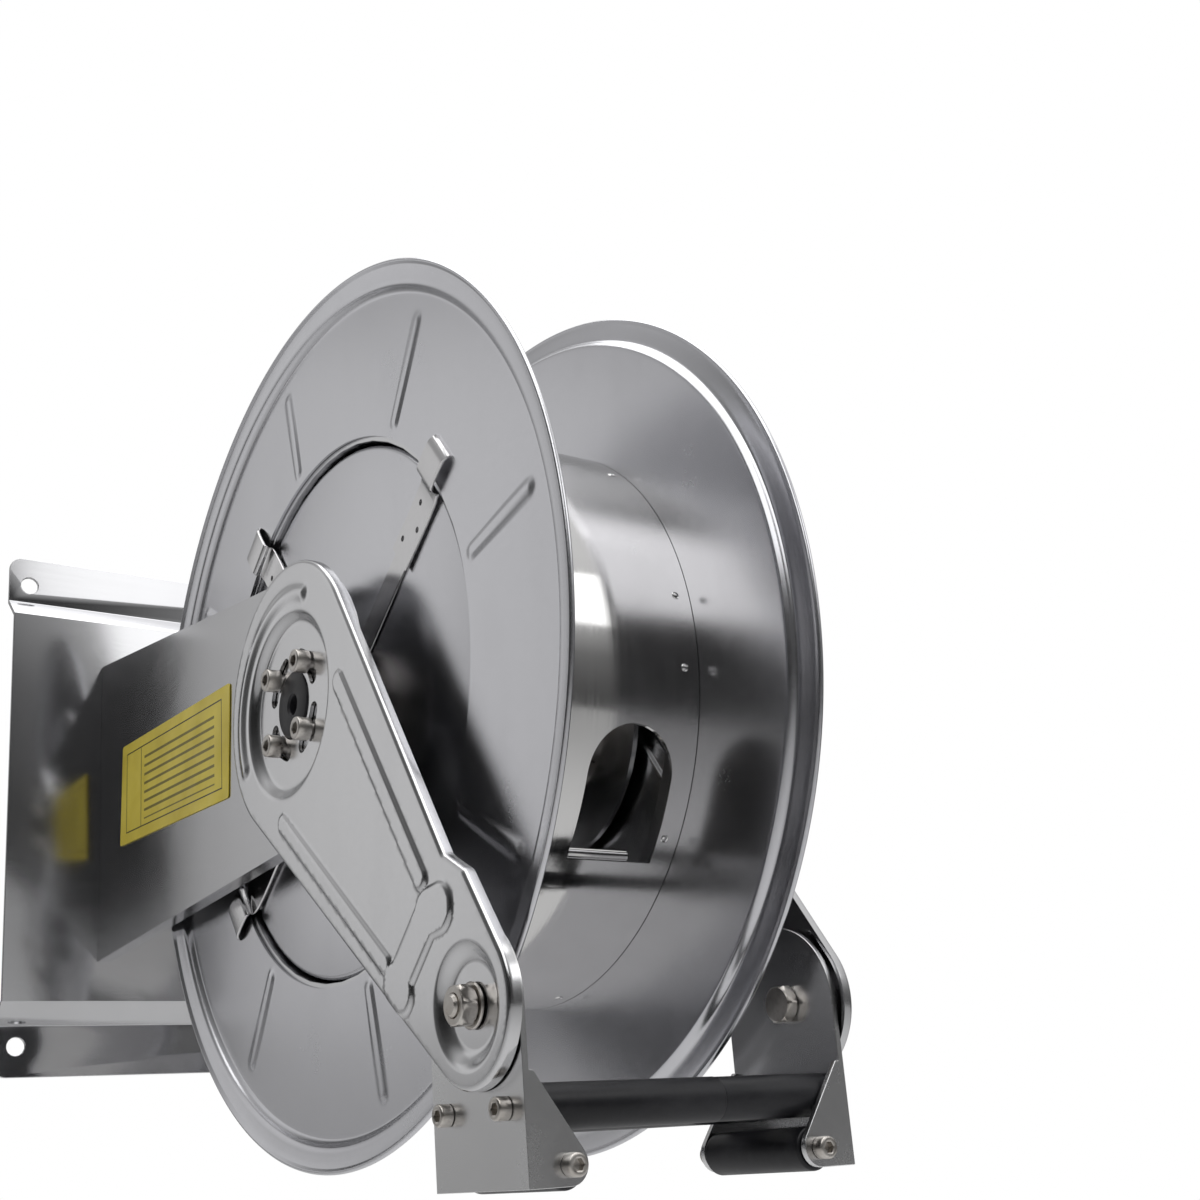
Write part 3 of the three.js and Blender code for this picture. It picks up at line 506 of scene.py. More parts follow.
def label_film():
    """Yellow printed film with a plain black frame and ruled lines, and no lettering."""
    low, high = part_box("label_left")
    middle = (low + high) / 2
    recipe = Recipe("yellow_label", (0.62, 0.5, 0.06), 0.45)
    split = recipe.nodes.new("ShaderNodeSeparateXYZ")
    recipe.links.new(recipe.coordinates.outputs["Object"], split.inputs["Vector"])
    across = recipe.maths("SUBTRACT", split.outputs["Y"], middle.y)
    tilt = recipe.maths("MULTIPLY", across, LABEL_TILT)
    upward = recipe.maths("SUBTRACT", recipe.maths("SUBTRACT", split.outputs["Z"], middle.z), tilt)
    inside_y = recipe.maths("ABSOLUTE", across, 0)
    inside_z = recipe.maths("ABSOLUTE", upward, 0)

    def within(half_y, half_z):
        return recipe.maths("MULTIPLY", recipe.maths("LESS_THAN", inside_y, half_y),
                            recipe.maths("LESS_THAN", inside_z, half_z))

    whole = within(*LABEL_FRAME)
    frame_line = recipe.maths("SUBTRACT", whole, within(*(side - LABEL_LINE for side in LABEL_FRAME)))
    column = recipe.maths("ABSOLUTE", recipe.maths("SUBTRACT", across, LABEL_COLUMN), 0)
    on_column = recipe.maths("LESS_THAN", column, LABEL_LINE / 2)
    divider = recipe.maths("MULTIPLY", on_column, within(*LABEL_FRAME))
    along_rule = recipe.maths("FRACT", recipe.maths("MULTIPLY", upward, 1 / LABEL_RULE), 0)
    ruled = recipe.maths("LESS_THAN", along_rule, 0.3)
    beside = recipe.maths("LESS_THAN", across, LABEL_COLUMN - LABEL_RULE)
    lines = recipe.maths("MULTIPLY", recipe.maths("MULTIPLY", ruled, beside),
                         within(LABEL_FRAME[0] * 0.86, LABEL_FRAME[1] * 0.84))
    border = recipe.maths("MAXIMUM", frame_line, divider)
    ink = recipe.maths("MAXIMUM", border, recipe.maths("MULTIPLY", lines, 0.75))
    fade = recipe.mix(recipe.remap(recipe.noise(30), 0, 1), (0.62, 0.49, 0.045), (0.76, 0.62, 0.08))
    recipe.feed("Base Color", recipe.mix(ink, fade, (0.03, 0.03, 0.02)))
    recipe.feed("Roughness", recipe.remap(recipe.noise(45, detail=5), 0.35, 0.55))
    recipe.bump(recipe.noise(500), 0.05, 0.0002)
    return recipe.material


# Satin-grained steel for the side arms; its base colour is darker than the disc's, and that darkness is painted
# shade standing in for the dimmer light on the side arms
SHADED_SATIN = stainless("satin_stainless", (0.50, 0.50, 0.51), 0.22, grain=(1, 0.03, 1), grain_scale=500,
                  spread=0.03, bump=0.02)
PLATE_STEEL = stainless("plate_stainless", (0.50, 0.50, 0.51), 0.12, grain=(0.03, 1, 1), grain_scale=500,
                        spread=0.03, bump=0.015)
DISC_STEEL = stainless("disc_stainless", (0.60, 0.60, 0.625), 0.24, grain_scale=400, spread=0.03, bump=0.02)
STRAP_STEEL = stainless("strap_stainless", (0.56, 0.555, 0.56), 0.18, grain_scale=400, spread=0.04, bump=0.02)
PRESSED = stainless("pressed_stainless", (0.59, 0.59, 0.60), 0.2, grain_scale=400, spread=0.04, bump=0.02)
BRACKET_STEEL = stainless("bracket_stainless", (0.66, 0.66, 0.665), 0.26, grain_scale=400, spread=0.02,
                          bump=0.004)
POLISHED = stainless("polished_stainless", (0.62, 0.615, 0.61), 0.1, grain=(1, 0.01, 0.01), grain_scale=500,
                     spread=0.05, bump=0.05)
FASTENER = fastener_steel()
NYLON = nylon()


# Drum


def disc(side):
    """Flat pressed face, with eight ribs on the left one, a step, a flared rim and a rolled lip."""
    node = f"disc_{side}"
    low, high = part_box(node)
    lip_x = low.x if side == "left" else high.x
    outward = SIDES[side]
    face_x = lip_x - outward * FACE_DEPTH
    face_rings = np.arange(DISC_HOLE, FACE_EDGE, 2 * MM)
    rim = [(place * MM, radius * MM) for place, radius in smooth_line(RIM_LINE, 4)]
    lip_centre = (FACE_DEPTH - LIP_RADIUS, DISC_RADIUS - LIP_RADIUS)
    lip = [(lip_centre[0] + LIP_RADIUS * math.sin(a), lip_centre[1] + LIP_RADIUS * math.cos(a))
           for a in np.linspace(math.radians(110), math.radians(-100), 14)]
    front = [(0.0, radius) for radius in face_rings] + rim + lip
    back = [(place - SHEET, radius) for place, radius in reversed([(0.0, r) for r in face_rings] + rim)]
    profile = np.array(front + back)
    angles = np.linspace(0, TURN, DISC_SEGMENTS, endpoint=False)
    place, radius = (column[None, :] for column in profile.T)
    turn = angles[:, None]
    relief = np.zeros((len(angles), len(profile)))
    for i in range(RIB_COUNT if side == "left" else 0):
        offset = turn - (RIB_START + TURN * i / RIB_COUNT)
        along, across = radius * np.cos(offset), radius * np.sin(offset)
        distance = bar_distance(along, across, (RIB_INNER, 0), (RIB_OUTER, 0))
        relief = np.maximum(relief, RIB_HEIGHT * smooth_step(RIB_HALF - distance, 0, RIB_SLOPE))
    x = face_x + outward * (place + relief)
    y = AXLE.y - radius * np.cos(turn)
    z = AXLE.z + radius * np.sin(turn)
    points = np.stack(np.broadcast_arrays(x, y, z), axis=-1).reshape(-1, 3)
    count = len(profile)
    faces = []
    for i in range(DISC_SEGMENTS):
        this, following = i * count, (i + 1) % DISC_SEGMENTS * count
        for k in range(count):
            n = (k + 1) % count
            faces.append((this + k, this + n, following + n, following + k))
    add_piece(f"{node}_finished", mesh_of(node, [(points.tolist(), faces)]), [node], DISC_STEEL, sharp=50)


def window_outline():
    """Round top and flat bottom, as (x, z) from the middle of the drum."""
    radius = (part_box("barrel")[1].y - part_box("barrel")[0].y) / 2
    top = radius * math.sin(math.radians(WINDOW_TOP))
    bottom = radius * math.sin(math.radians(WINDOW_BOTTOM))
    crown = arc((WINDOW_X, top - WINDOW_HALF), WINDOW_HALF, 0, TURN / 2, 40)
    return [(WINDOW_X + WINDOW_HALF, bottom), *crown, (WINDOW_X - WINDOW_HALF, bottom)], radius, bottom


def barrel():
    """Polished barrel with the hose window, the rolled bar along its lower edge and rows of spot welds."""
    low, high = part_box("barrel")
    middle = (low.x + high.x) / 2
    outline, radius, bottom = window_outline()
    lengthwise = np.linspace(low.x, high.x, 24).tolist()
    profile = [(x, radius) for x in lengthwise] + [(x, radius - SHEET) for x in reversed(lengthwise)]
    shell = mesh_of("barrel", [spun(profile, BARREL_SEGMENTS, AXLE)])
    cutter = mesh_of("window", [prism(outline, -2 * radius, -radius / 2,
                                      lambda y, x, z: (middle + x, AXLE.y + y, AXLE.z + z))])
    wall = carved(shell, cutter)
    bar_y = AXLE.y - math.sqrt(radius ** 2 - bottom ** 2) + WINDOW_BAR / 2
    bar_x = middle + WINDOW_X - WINDOW_HALF + BAR_HALF
    bar_start, bar_end = bar_x - BAR_HALF, bar_x + BAR_HALF
    bar_side = WINDOW_BAR - BAR_CHAMFER
    bar_profile = [(bar_start, 0), (bar_start, bar_side), (bar_start + BAR_CHAMFER, WINDOW_BAR),
                   (bar_end - BAR_CHAMFER, WINDOW_BAR), (bar_end, bar_side), (bar_end, 0)]
    bar = spun(bar_profile, 32, (0, bar_y, AXLE.z + bottom + WINDOW_BAR))
    welds = [weld_spot(x, radius, math.radians(angle))
             for angle in WELD_ANGLES for x in (low.x + WELD_INSET, high.x - WELD_INSET)]
    extras = mesh_of("barrel_extras", [bar, *welds])
    add_piece("barrel_finished", joined(wall, extras), ["barrel"], POLISHED, sharp=40)


def weld_spot(x, radius, angle):
    """A shallow round mark of a spot weld on the barrel."""
    rings = [(0, 0.55), (0.35, 0.5), (0.6, 0.1), (0.8, 0.35), (1, -0.3)]
    centre = Vector((x, AXLE.y - radius * math.cos(angle), AXLE.z + radius * math.sin(angle)))
    outward = Vector((0, -math.cos(angle), math.sin(angle)))
    sideways = Vector((0, math.sin(angle), math.cos(angle)))
    points, count = [], 20
    for share, height in rings:
        for i in range(count):
            a = TURN * i / count
            offset = Vector((math.cos(a), 0, 0)) + sideways * math.sin(a)
            points.append(centre + offset * share * WELD_RADIUS + outward * height * MM)
    base = (len(rings) - 1) * count
    return points, [*tube_faces(len(rings), count), tuple(range(base, base + count))]


def spring_cover():
    low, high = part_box("spring_cover")
    radius = (high.y - low.y) / 2
    bend = COVER_BEND
    corner = [(low.x + bend - bend * math.cos(a), radius - bend + bend * math.sin(a))
              for a in np.linspace(0, math.pi / 2, 7)]
    profile = [(low.x, COVER_HOLE), *corner, (high.x, radius), (high.x, radius - SHEET),
               (low.x + bend, radius - SHEET), (low.x + SHEET, radius - bend), (low.x + SHEET, COVER_HOLE)]
    mesh = mesh_of("cover", [spun(profile, COVER_SEGMENTS, AXLE)])
    add_piece("spring_cover_finished", mesh, ["spring_cover"], DISC_STEEL)


def cover_strap(number):
    """Thin strap along the cover, ending in a wider clip that hooks over the edge of the disc."""
    node = f"cover_strap_{number}"
    low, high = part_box(node)
    angle = STRAP_START + TURN * (number - 1) / 4
    cover_x, hook_x = high.x, low.x + STRAP_SHEET

    def ribbon(line, half):
        """Strip that follows (radius, x) points, with its sides rounded off."""
        sides = [(-half, 0.5), (-half + 0.5 * MM, 1), (half - 0.5 * MM, 1), (half, 0.5),
                 (half, 0), (-half, 0)]
        points = []
        for radius, x in line:
            for across, share in sides:
                y = radius * math.cos(angle) - across * math.sin(angle)
                z = radius * math.sin(angle) + across * math.cos(angle)
                points.append((x - share * STRAP_SHEET, AXLE.y - y, AXLE.z + z))
        count = len(sides)
        last = (len(line) - 1) * count
        ends = [tuple(range(count))[::-1], tuple(range(last, last + count))]
        return points, [*tube_faces(len(line), count), *ends]

    strip = mesh_of(node, [ribbon([(STRAP_INNER, cover_x), (STRAP_STEP, cover_x)], STRAP_HALF)])
    climb = [(CLIP_INNER, cover_x - STRAP_SHEET), (STRAP_STEP - 4 * MM, cover_x - STRAP_SHEET),
             (STRAP_STEP + 2 * MM, hook_x - 1.6 * MM), (STRAP_STEP + 6 * MM, hook_x - 2.6 * MM),
             (STRAP_OUTER - 6 * MM, hook_x - 2.6 * MM), (STRAP_OUTER - 2 * MM, hook_x - 1.4 * MM),
             (STRAP_OUTER, hook_x + 0.4 * MM)]
    clip = mesh_of("clip", [ribbon(smooth_line(climb, 4), CLIP_HALF)])
    cos_angle, sin_angle = math.cos(angle), math.sin(angle)
    holes = []
    for radius, across in CLIP_HOLES:
        y = AXLE.y - radius * cos_angle + across * sin_angle
        z = AXLE.z + radius * sin_angle + across * cos_angle
        start, end = cover_x - 6 * MM, cover_x - HOLE_DEPTH
        profile = [(start, 0), (start, HOLE_RADIUS), (end, HOLE_RADIUS), (end, 0)]
        holes.append(spun(profile, 20, (0, y, z)))
    clip = carved(clip, mesh_of("clip_holes", holes))
    strip = carved(strip, mesh_of("strip_holes", holes))
    add_piece(f"{node}_finished", joined(strip, clip), [node], STRAP_STEEL, sharp=40)


# Guide arms


def arm_outline():
    """Points round the hub, along the rear edge, round the tip and back over the shoulder."""
    def touch(dx, dy, radius, side):
        return math.atan2(dy, dx) + side * math.acos(radius / math.hypot(dx, dy))

    rear = TURN + touch(TIP[0] - HUB[0], TIP[1] - HUB[1], HUB[2] - TIP[2], -1)
    hub_start = touch(SHOULDER[1][0] - HUB[0], SHOULDER[1][1] - HUB[1], HUB[2], 1)
    tip_end = TURN + touch(SHOULDER[0][0] - TIP[0], SHOULDER[0][1] - TIP[1], TIP[2], -1)
    hub = arc(HUB[:2], HUB[2], hub_start, rear, 120)
    tip = arc(TIP[:2], TIP[2], rear, tip_end, 80)
    corners = [*hub, *tip, *SHOULDER]
    closed = np.array([*corners, corners[0]])
    length = np.concatenate([[0], np.cumsum(np.hypot(*np.diff(closed, axis=0).T))])
    even = np.linspace(0, length[-1], OUTLINE_POINTS, endpoint=False)
    return np.stack([np.interp(even, length, closed[:, k]) for k in (0, 1)], axis=-1)


def arm_relief(along, across):
    """Height of the pressed face above its flat part, in millimetres."""
    hub_distance = np.hypot(along, across)
    pivot_distance = np.hypot(along - ARM_PIVOT[0], across - ARM_PIVOT[1])
    height = -RECESS_DEPTH * smooth_step(HUB_RECESS - hub_distance, -2.5, 5)
    height = height - RECESS_DEPTH * smooth_step(PIVOT_RECESS - pivot_distance, -1, 8)
    raised = np.zeros_like(along)
    for start, end, half in (*RIBS, *BUMPS):
        raised = np.maximum(raised, smooth_step(half - bar_distance(along, across, start, end), 0, CREASE))
    middle, half, first, last = RIDGE
    angle = np.degrees(np.arctan2(across, along)) % 360
    nearest = np.radians(np.clip(angle, first, last))
    ridge_distance = np.hypot(along - middle * np.cos(nearest), across - middle * np.sin(nearest))
    raised = np.maximum(raised, 1.25 * smooth_step(half - ridge_distance, 0, half))
    return height + PRESSED_RISE * raised


def inset_line(line, depth):
    """A closed line moved to its left by depth."""
    ahead = np.roll(line, -1, axis=0) - np.roll(line, 1, axis=0)
    normal = np.stack([-ahead[:, 1], ahead[:, 0]], axis=-1) / np.hypot(*ahead.T)[:, None]
    return line + normal * depth


def distance_to(line, points):
    """Distance of each point from the nearest point of a finely divided line."""
    tree = KDTree(len(line))
    for i, (x, y) in enumerate(line):
        tree.insert((x, y, 0), i)
    tree.balance()
    return np.array([tree.find((x, y, 0))[2] for x, y in points])


def is_inside(line, points):
    """Even-odd test of points in a closed line."""
    result = np.zeros(len(points), bool)
    x, y = points.T
    for (x0, y0), (x1, y1) in zip(line, np.roll(line, -1, axis=0)):
        if y0 != y1:
            result ^= ((y0 > y) != (y1 > y)) & (x < (x1 - x0) * (y - y0) / (y1 - y0) + x0)
    return result


def bar_outline(start, end, half):
    """Points round a line between two points, at a distance of half from it."""
    (x0, y0), (x1, y1) = start, end
    heading = math.atan2(y1 - y0, x1 - x0)
    length = math.dist(start, end)
    shares = np.arange(0, length, CREASE_SPACING) / length
    turns = max(6, round(math.pi * half / CREASE_SPACING))
    rows = arc(end, half, heading - math.pi / 2, heading + math.pi / 2, turns)
    rows += arc(start, half, heading + math.pi / 2, heading + 1.5 * math.pi, turns)
    for side in (-half, half):
        aside = (-math.sin(heading) * side, math.cos(heading) * side)
        rows += [(x0 + (x1 - x0) * t + aside[0], y0 + (y1 - y0) * t + aside[1]) for t in shares[1:]]
    return rows


def crease_points():
    """Points that follow the creases of the pressing, so that the triangles line up with them."""
    points = []
    for start, end, half in (*RIBS, *BUMPS):
        for inset in np.linspace(0, CREASE, 5):
            points += bar_outline(start, end, half - inset)
    for centre, radii in (((0, 0), HUB_RINGS), (ARM_PIVOT, PIVOT_RINGS)):
        for radius in radii:
            points += arc(centre, radius, 0, TURN, round(TURN * radius / CREASE_SPACING))[:-1]
    return np.array(points)


def triangulated_plate(outline, holes):
    """Triangles over a plate with holes: points, triangles, and the rows of boundary points in order."""
    rows = [outline] + [inset_line(outline, depth) for depth in EDGE_ROWS]
    rims = [np.array(hole) for hole in holes]
    steps = np.arange(*GRID_RANGE, ARM_GRID)
    grid = np.stack(np.meshgrid(steps, steps), axis=-1).reshape(-1, 2)
    creases = crease_points()
    grid = grid[distance_to(creases, grid) > ARM_GRID / 2]
    grid = np.concatenate([grid, creases])
    grid = grid[is_inside(outline, grid)]
    grid = grid[distance_to(outline, grid) > EDGE_ROWS[-1] + ARM_GRID / 3]
    for rim in rims:
        grid = grid[~is_inside(rim, grid)]
        grid = grid[distance_to(rim, grid) > ARM_GRID / 3]
    loops = rows + rims
    points = np.concatenate([*loops, grid])
    edges, start = [], 0
    for loop in loops:
        count = len(loop)
        edges += [(start + i, start + (i + 1) % count) for i in range(count)]
        start += count
    found, _, triangles, origins, _, _ = delaunay_2d_cdt([Vector(p) for p in points], edges, [], 0, 1e-5)
    new_index = {old: i for i, olds in enumerate(origins) for old in olds}
    found = np.array([tuple(p) for p in found])
    middles = np.array([found[list(t)].mean(axis=0) for t in triangles])
    keep = is_inside(outline, middles)
    for rim in rims:
        keep &= ~is_inside(rim, middles)
    border = {new_index[i] for i in range(len(outline))}
    keep &= [not border.issuperset(t) for t in triangles]
    boundaries, start = [], 0
    for loop in loops:
        boundaries.append([new_index[start + i] for i in range(len(loop))])
        start += len(loop)
    return found, [tuple(t) for t, kept in zip(triangles, keep) if kept], boundaries


def arm_sheet():
    """The flat layout of both arms: outline, points, triangles, boundaries and distances from the edge."""
    outline = arm_outline()
    holes = [arc((0, 0), HUB_BORE, 0, TURN * 71 / 72, 71), arc(ARM_PIVOT, PIVOT_HOLE, 0, TURN * 31 / 32, 31)]
    holes += [slot_outline(ARM_TURN + math.pi / 4 + i * math.pi / 2) for i in range(4)]
    flat, triangles, boundaries = triangulated_plate(outline, holes)
    return outline, flat, triangles, boundaries, distance_to(outline, flat)


def guide_arm(side, sheet):
    """Pressed plate with sunk floors at the hub and the pivot, ribs, bumps and a turned-back rim."""
    node = f"guide_arm_{side}"
    low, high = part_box(node)
    outward = SIDES[side]
    pressed_x = high.x if outward > 0 else low.x
    face_x = pressed_x - outward * PRESSING * MM
    cos_turn, sin_turn = math.cos(ARM_TURN), math.sin(ARM_TURN)

    def place(height, along, across):
        a, b = along * MM, across * MM
        x = face_x + outward * height * MM
        return (x, AXLE.y + cos_turn * a + sin_turn * b, AXLE.z + sin_turn * a - cos_turn * b)

    outline, flat, triangles, boundaries, edge = sheet
    drop = np.clip(EDGE_ROUND - edge, 0, EDGE_ROUND)
    front = arm_relief(*flat.T) - EDGE_ROUND + np.sqrt(EDGE_ROUND ** 2 - drop ** 2)
    back_flat = flat.copy()
    back = front - ARM_SHEET * np.sqrt(1 - (drop / EDGE_ROUND) ** 2)
    for row, depth in zip(boundaries, (0, *EDGE_ROWS)):
        back_flat[row] = inset_line(outline, depth + ARM_SHEET * (1 - depth / EDGE_ROUND))
    count, size = len(flat), len(outline)
    points = [place(h, a, b) for (a, b), h in zip(flat, front)]
    points += [place(h, a, b) for (a, b), h in zip(back_flat, back)]
    foot = len(points)
    points += [place(-ARM_DEPTH, a, b) for a, b in (*outline, *inset_line(outline, ARM_SHEET))]
    faces = triangles + [tuple(count + i for i in reversed(t)) for t in triangles]
    for hole in boundaries[1 + len(EDGE_ROWS):]:
        faces += [(a, b, count + b, count + a) for a, b in zip(hole, hole[1:] + hole[:1])]
    rim = boundaries[0]
    for i in range(size):
        j = (i + 1) % size
        faces += [(rim[i], rim[j], foot + j, foot + i),
                  (foot + i, foot + j, foot + size + j, foot + size + i),
                  (foot + size + i, foot + size + j, count + rim[j], count + rim[i])]
    add_piece(f"{node}_finished", mesh_of(node, [(points, faces)]), [node], PRESSED, sharp=42)


def slot_outline(middle):
    """A curved slot with round ends, centred on one hub screw."""
    first, last = middle - SLOT_SPAN, middle + SLOT_SPAN
    ends = [(SCREW_CIRCLE * math.cos(a), SCREW_CIRCLE * math.sin(a)) for a in (first, last)]
    return [*arc((0, 0), SCREW_CIRCLE + SLOT_HALF, first, last, 12)[:-1],
            *arc(ends[1], SLOT_HALF, last, last + math.pi, 10)[:-1],
            *arc((0, 0), SCREW_CIRCLE - SLOT_HALF, last, first, 12)[:-1],
            *arc(ends[0], SLOT_HALF, first - math.pi, first, 10)[:-1]]


# Fasteners and rollers


def screw_end(tip, inward, head, length, shank, flats):
    """Profile from the axis out over a socket head and down to its shank, starting at the tip."""
    deep = length * 0.55
    wide = flats / math.sqrt(3)
    return [(tip + inward * (deep + 0.6 * MM), 0), (tip + inward * deep, wide, flats),
            (tip + inward * 0.3 * MM, wide, flats),
            (tip, wide + 0.35 * MM), (tip, head - 0.9 * MM), (tip + inward * 0.25 * MM, head - 0.35 * MM),
            (tip + inward * 0.8 * MM, head), (tip + inward * (length - 0.2 * MM), head),
            (tip + inward * length, head - 0.2 * MM), (tip + inward * length, shank)]


def hub_screw(node, side):
    low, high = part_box(node)
    tip, end = (low.x, high.x) if side == "left" else (high.x, low.x)
    inward = -SIDES[side]
    head = (high.y - low.y) / 2
    top = screw_end(tip, inward, head, HUB_HEAD_LENGTH, HUB_SHANK, HUB_SOCKET)
    profile = [*top, (end, HUB_SHANK), (end, 0)]
    mesh = mesh_of(node, [spun(profile, 48, (low + high) / 2)])
    add_piece(f"{node}_finished", mesh, [node], FASTENER)


def spindle(place):
    """Pin with a socket head at each end."""
    node = f"spindle_{place}"
    axis = "Y" if place in SIDES else "X"
    k = "XYZ".index(axis)
    low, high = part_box(node)
    head = (high.z - low.z) / 2
    near = screw_end(low[k], 1, head, SPINDLE_HEAD_LENGTH, SPINDLE_SHANK, SPINDLE_SOCKET)
    far = screw_end(high[k], -1, head, SPINDLE_HEAD_LENGTH, SPINDLE_SHANK, SPINDLE_SOCKET)
    mesh = mesh_of(node, [spun([*near, *reversed(far)], 48, (low + high) / 2, axis)])
    add_piece(f"{node}_finished", mesh, [node], FASTENER)


def roller(place):
    """Turned plastic roller with rounded ends; the front one has a joint partway along."""
    node = f"roller_{place}"
    axis = "Y" if place in SIDES else "X"
    k = "XYZ".index(axis)
    low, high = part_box(node)
    radius = (high.z - low.z) / 2
    start, end = low[k], high[k]
    rounding = [(ROLLER_EDGE * (1 - math.cos(a)), ROLLER_EDGE * (1 - math.sin(a)))
                for a in np.linspace(0, math.pi / 2, 6)]
    profile = [(start, ROLLER_BORE)] + [(start + place_in, radius - drop) for place_in, drop in rounding]
    if place == "front":
        joint_x = start + (end - start) * ROLLER_JOINT
        profile += [(joint_x - 0.5 * MM, radius), (joint_x, radius - 0.5 * MM),
                    (joint_x + 0.5 * MM, radius - 0.15 * MM)]
    profile += [(end - place_in, radius - drop) for place_in, drop in reversed(rounding)]
    profile.append((end, ROLLER_BORE))
    mesh = mesh_of(node, [spun(profile, 64, (low + high) / 2, axis)])
    add_piece(f"{node}_finished", mesh, [node], NYLON)


def hex_profile(outer, inner, bore):
    """Nut or bolt head: chamfered faces on a hexagonal body, from the outer face to the inner one."""
    step = 1 if inner > outer else -1
    corner = PIVOT_FLATS / math.sqrt(3)
    start = PIVOT_FLATS * 0.47
    half = [(outer, start), (outer + step * 0.5 * MM, PIVOT_FLATS * 0.51, PIVOT_FLATS),
            (outer + step * 1.5 * MM, corner, PIVOT_FLATS)]
    other = [(inner - step * 1.5 * MM, corner, PIVOT_FLATS),
             (inner - step * 0.5 * MM, PIVOT_FLATS * 0.51, PIVOT_FLATS), (inner, start)]
    if bore:
        return [(outer, bore + 0.5 * MM), *half, *other, (inner, bore), (outer + step * 0.6 * MM, bore)]
    return [(outer, 0), *half, *other]


def pivot_set(side):
    """Bolt, washer and nut of one pivot."""
    outward = SIDES[side]
    bolt, washer, nut = (f"pivot_{kind}_{side}" for kind in ("bolt", "washer", "nut"))
    low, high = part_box(bolt)
    head_outer, tip = (high.x, low.x) if side == "left" else (low.x, high.x)
    seat = head_outer + outward * BOLT_HEAD
    profile = [*hex_profile(head_outer, seat, 0), (seat, PIVOT_STUD), (tip - outward * 1.2 * MM, PIVOT_STUD),
               (tip, PIVOT_STUD - 1.1 * MM), (tip, 0)]
    add_piece(f"{bolt}_finished", mesh_of(bolt, [spun(profile, 48, PIVOT)]), [bolt], FASTENER)
    low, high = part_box(washer)
    rim = (high.y - low.y) / 2
    ring = softened([(low.x, WASHER_BORE), (low.x, rim), (high.x, rim), (high.x, WASHER_BORE)])
    add_piece(f"{washer}_finished", mesh_of(washer, [spun(ring, 64, PIVOT)]), [washer], FASTENER)
    low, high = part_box(nut)
    profile = hex_profile(low.x, high.x, NUT_BORE)
    add_piece(f"{nut}_finished", mesh_of(nut, [spun(profile, 48, PIVOT)]), [nut], FASTENER)


def hub_cap():
    low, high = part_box("hub_cap_left")
    radius = (high.y - low.y) / 2
    profile = [(low.x + 1.2 * MM, CAP_BORE), (low.x, 6.6 * MM), (low.x, radius - 1.2 * MM),
               (low.x + 0.3 * MM, radius - 0.4 * MM),
               (low.x + 1.0 * MM, radius), (high.x, radius), (high.x, CAP_BORE)]
    mesh = mesh_of("cap", [spun(profile, 96, AXLE)])
    add_piece("hub_cap_left_finished", mesh, ["hub_cap_left"], NYLON)


def outlet():
    """Smooth bent pipe to the window."""
    piece = cad_copy("hose_outlet", FASTENER)
    smooth = piece.modifiers.new("smooth", "SUBSURF")
    smooth.levels = smooth.render_levels = 2


# Stage


def floor():
    low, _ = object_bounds()
    size = FLOOR_SIZE
    z = low[2] - FLOOR_DROP
    corners = [(-size, -size, z), (size, -size, z), (size, size, z), (-size, size, z)]
    mesh = mesh_of("floor", [(corners, [(0, 1, 2, 3)])])
    recipe = Recipe("pale_floor", (0.93, 0.93, 0.93), 0.7)
    recipe.feed("Roughness", recipe.remap(recipe.noise(3), 0.65, 0.75))
    mesh.materials.append(recipe.material)
    plane = bpy.data.objects.new("floor", mesh)
    bpy.context.scene.collection.objects.link(plane)
    plane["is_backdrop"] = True


def softbox(name, place, target, size, power):
    light = bpy.data.lights.new(name, "AREA")
    light.shape = "RECTANGLE"
    light.size, light.size_y = size
    light.energy = power
    lamp = bpy.data.objects.new(name, light)
    lamp.location = place
    lamp.rotation_euler = (Vector(target) - Vector(place)).to_track_quat("-Z", "Y").to_euler()
    bpy.context.scene.collection.objects.link(lamp)


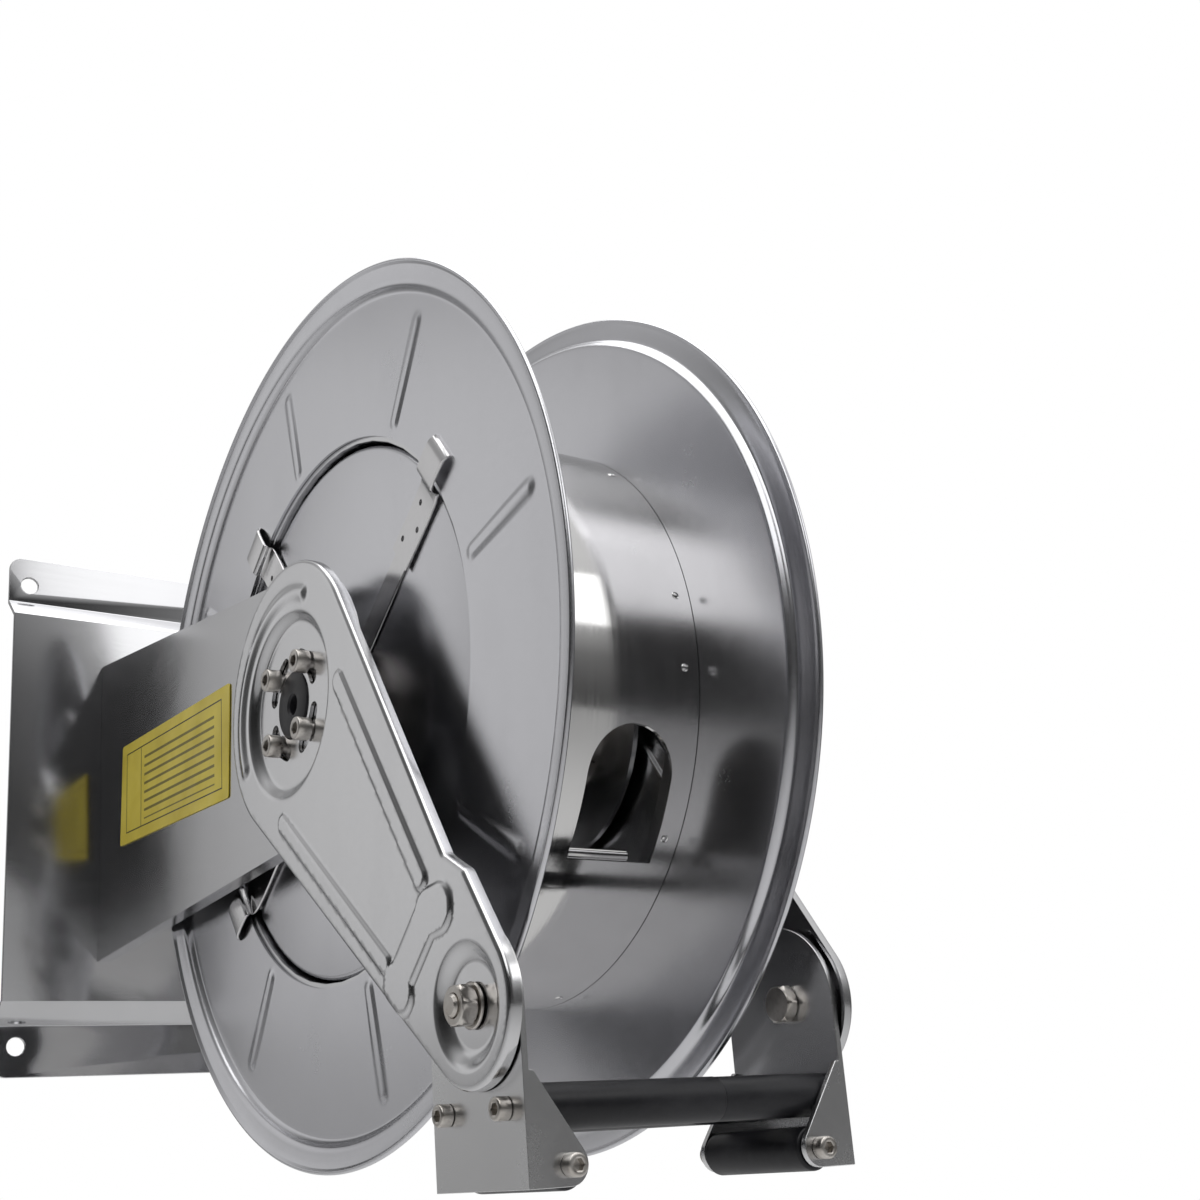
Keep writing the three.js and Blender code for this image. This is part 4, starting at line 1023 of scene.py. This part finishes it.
def surroundings():
    """Studio that the steel reflects: a pale wall on the left, dark towards the right and the floor."""
    world = bpy.data.worlds.new("studio")
    bpy.context.scene.world = world
    world.use_nodes = True
    nodes, links = world.node_tree.nodes, world.node_tree.links
    background = nodes["Background"]
    coordinates = nodes.new("ShaderNodeTexCoord")
    split = nodes.new("ShaderNodeSeparateXYZ")
    links.new(coordinates.outputs["Generated"], split.inputs["Vector"])

    def ramp(source, stops):
        node = nodes.new("ShaderNodeValToRGB")
        elements = node.color_ramp.elements
        while len(elements) < len(stops):
            elements.new(0.5)
        for element, (place, value) in zip(elements, stops):
            element.position = place
            element.color = (value, value, value, 1)
        half = nodes.new("ShaderNodeMapRange")
        half.inputs["From Min"].default_value = -1
        links.new(source, half.inputs["Value"])
        links.new(half.outputs["Result"], node.inputs["Fac"])
        return node.outputs["Color"]

    def blend(mode, share, first, second):
        node = nodes.new("ShaderNodeMix")
        node.data_type = "RGBA"
        node.blend_type = mode
        if share is None:
            node.inputs["Factor"].default_value = 1.0
        else:
            links.new(share, node.inputs["Factor"])
        links.new(first, node.inputs["A"])
        links.new(second, node.inputs["B"])
        return node.outputs["Result"]

    height = ramp(split.outputs["Z"], [(0.0, 0.3), (0.4, 0.55), (0.5, 0.8), (0.62, 1.0), (1.0, 1.0)])
    left = ramp(split.outputs["X"], [(0.0, 0.08), (0.12, 0.12), (0.19, 0.4), (0.25, 0.64),
                                     (0.34, 0.44), (0.45, 0.26)])
    behind = ramp(split.outputs["Y"], [(0.3, 0.12), (0.45, 0.3), (0.65, 1.0)])
    right = ramp(split.outputs["Z"], [(0.0, 0.2), (0.12, 0.5), (0.24, 0.28), (0.33, 0.1), (0.5, 0.1),
                                      (0.6, 0.2), (0.68, 0.5), (0.85, 0.9), (1.0, 0.9)])
    rightward = ramp(split.outputs["X"], [(0.38, 0.0), (0.56, 1.0)])
    leftward = blend("MULTIPLY", None, behind, blend("MULTIPLY", None, height, left))
    studio = blend("MIX", rightward, leftward, right)
    path = nodes.new("ShaderNodeLightPath")
    seen = nodes.new("ShaderNodeMix")
    seen.data_type = "RGBA"
    seen.inputs["B"].default_value = (1, 1, 1, 1)
    links.new(path.outputs["Is Camera Ray"], seen.inputs["Factor"])
    links.new(studio, seen.inputs["A"])
    links.new(seen.outputs["Result"], background.inputs["Color"])
    background.inputs["Strength"].default_value = 1.0


def camera():
    yaw, pitch, roll = (math.radians(v) for v in (CAMERA_YAW, CAMERA_PITCH, CAMERA_ROLL))
    forward = Vector((math.sin(yaw) * math.cos(pitch), math.cos(yaw) * math.cos(pitch), math.sin(pitch)))
    level = Vector((math.cos(yaw), -math.sin(yaw), 0))
    upright = level.cross(forward)
    right = level * math.cos(roll) + upright * math.sin(roll)
    up = upright * math.cos(roll) - level * math.sin(roll)
    data = bpy.data.cameras.new("camera")
    data.lens = CAMERA_LENS
    data.shift_x, data.shift_y = CAMERA_SHIFT
    eye = bpy.data.objects.new("camera", data)
    eye.matrix_world = Matrix.Translation(CAMERA_PLACE) @ Matrix((right, up, -forward)).transposed().to_4x4()
    bpy.context.scene.collection.objects.link(eye)
    bpy.context.scene.camera = eye


camera()
surroundings()
floor()
for name, (place, size, power) in SOFTBOXES.items():
    softbox(name, place, AXLE, size, power)
bpy.context.scene.view_settings.view_transform = "Standard"

frame["nodes"]["label_left"].data.materials.clear()
frame["nodes"]["label_left"].data.materials.append(label_film())
frame["nodes"]["power_spring"].data.materials.clear()
frame["nodes"]["power_spring"].data.materials.append(spring_steel())

rounded_copy("wall_plate", 0.8 * MM, PLATE_STEEL)
rounded_copy("spider", 0.5 * MM, PRESSED)
rounded_copy("spring_can", 0.4 * MM, PRESSED)
for node in ("axle", "hub_tube", "inlet_body", "inlet_elbow"):
    rounded_copy(node, 0.6 * MM, FASTENER)
flat_arm = arm_sheet()
for side in SIDES:
    # the side arms take the darker satin colour, which is painted shade
    rounded_copy(f"side_arm_{side}", 1.2 * MM, SHADED_SATIN, segments=3)
    rounded_copy(f"bracket_{side}", 0.7 * MM, BRACKET_STEEL)
    disc(side)
    guide_arm(side, flat_arm)
    pivot_set(side)
    for number in range(1, 5):
        hub_screw(f"hub_screw_{side}_{number}", side)
for number in range(1, 5):
    cover_strap(number)
for place in ("front", "rear", "left", "right"):
    spindle(place)
    roller(place)
barrel()
spring_cover()
hub_cap()
outlet()
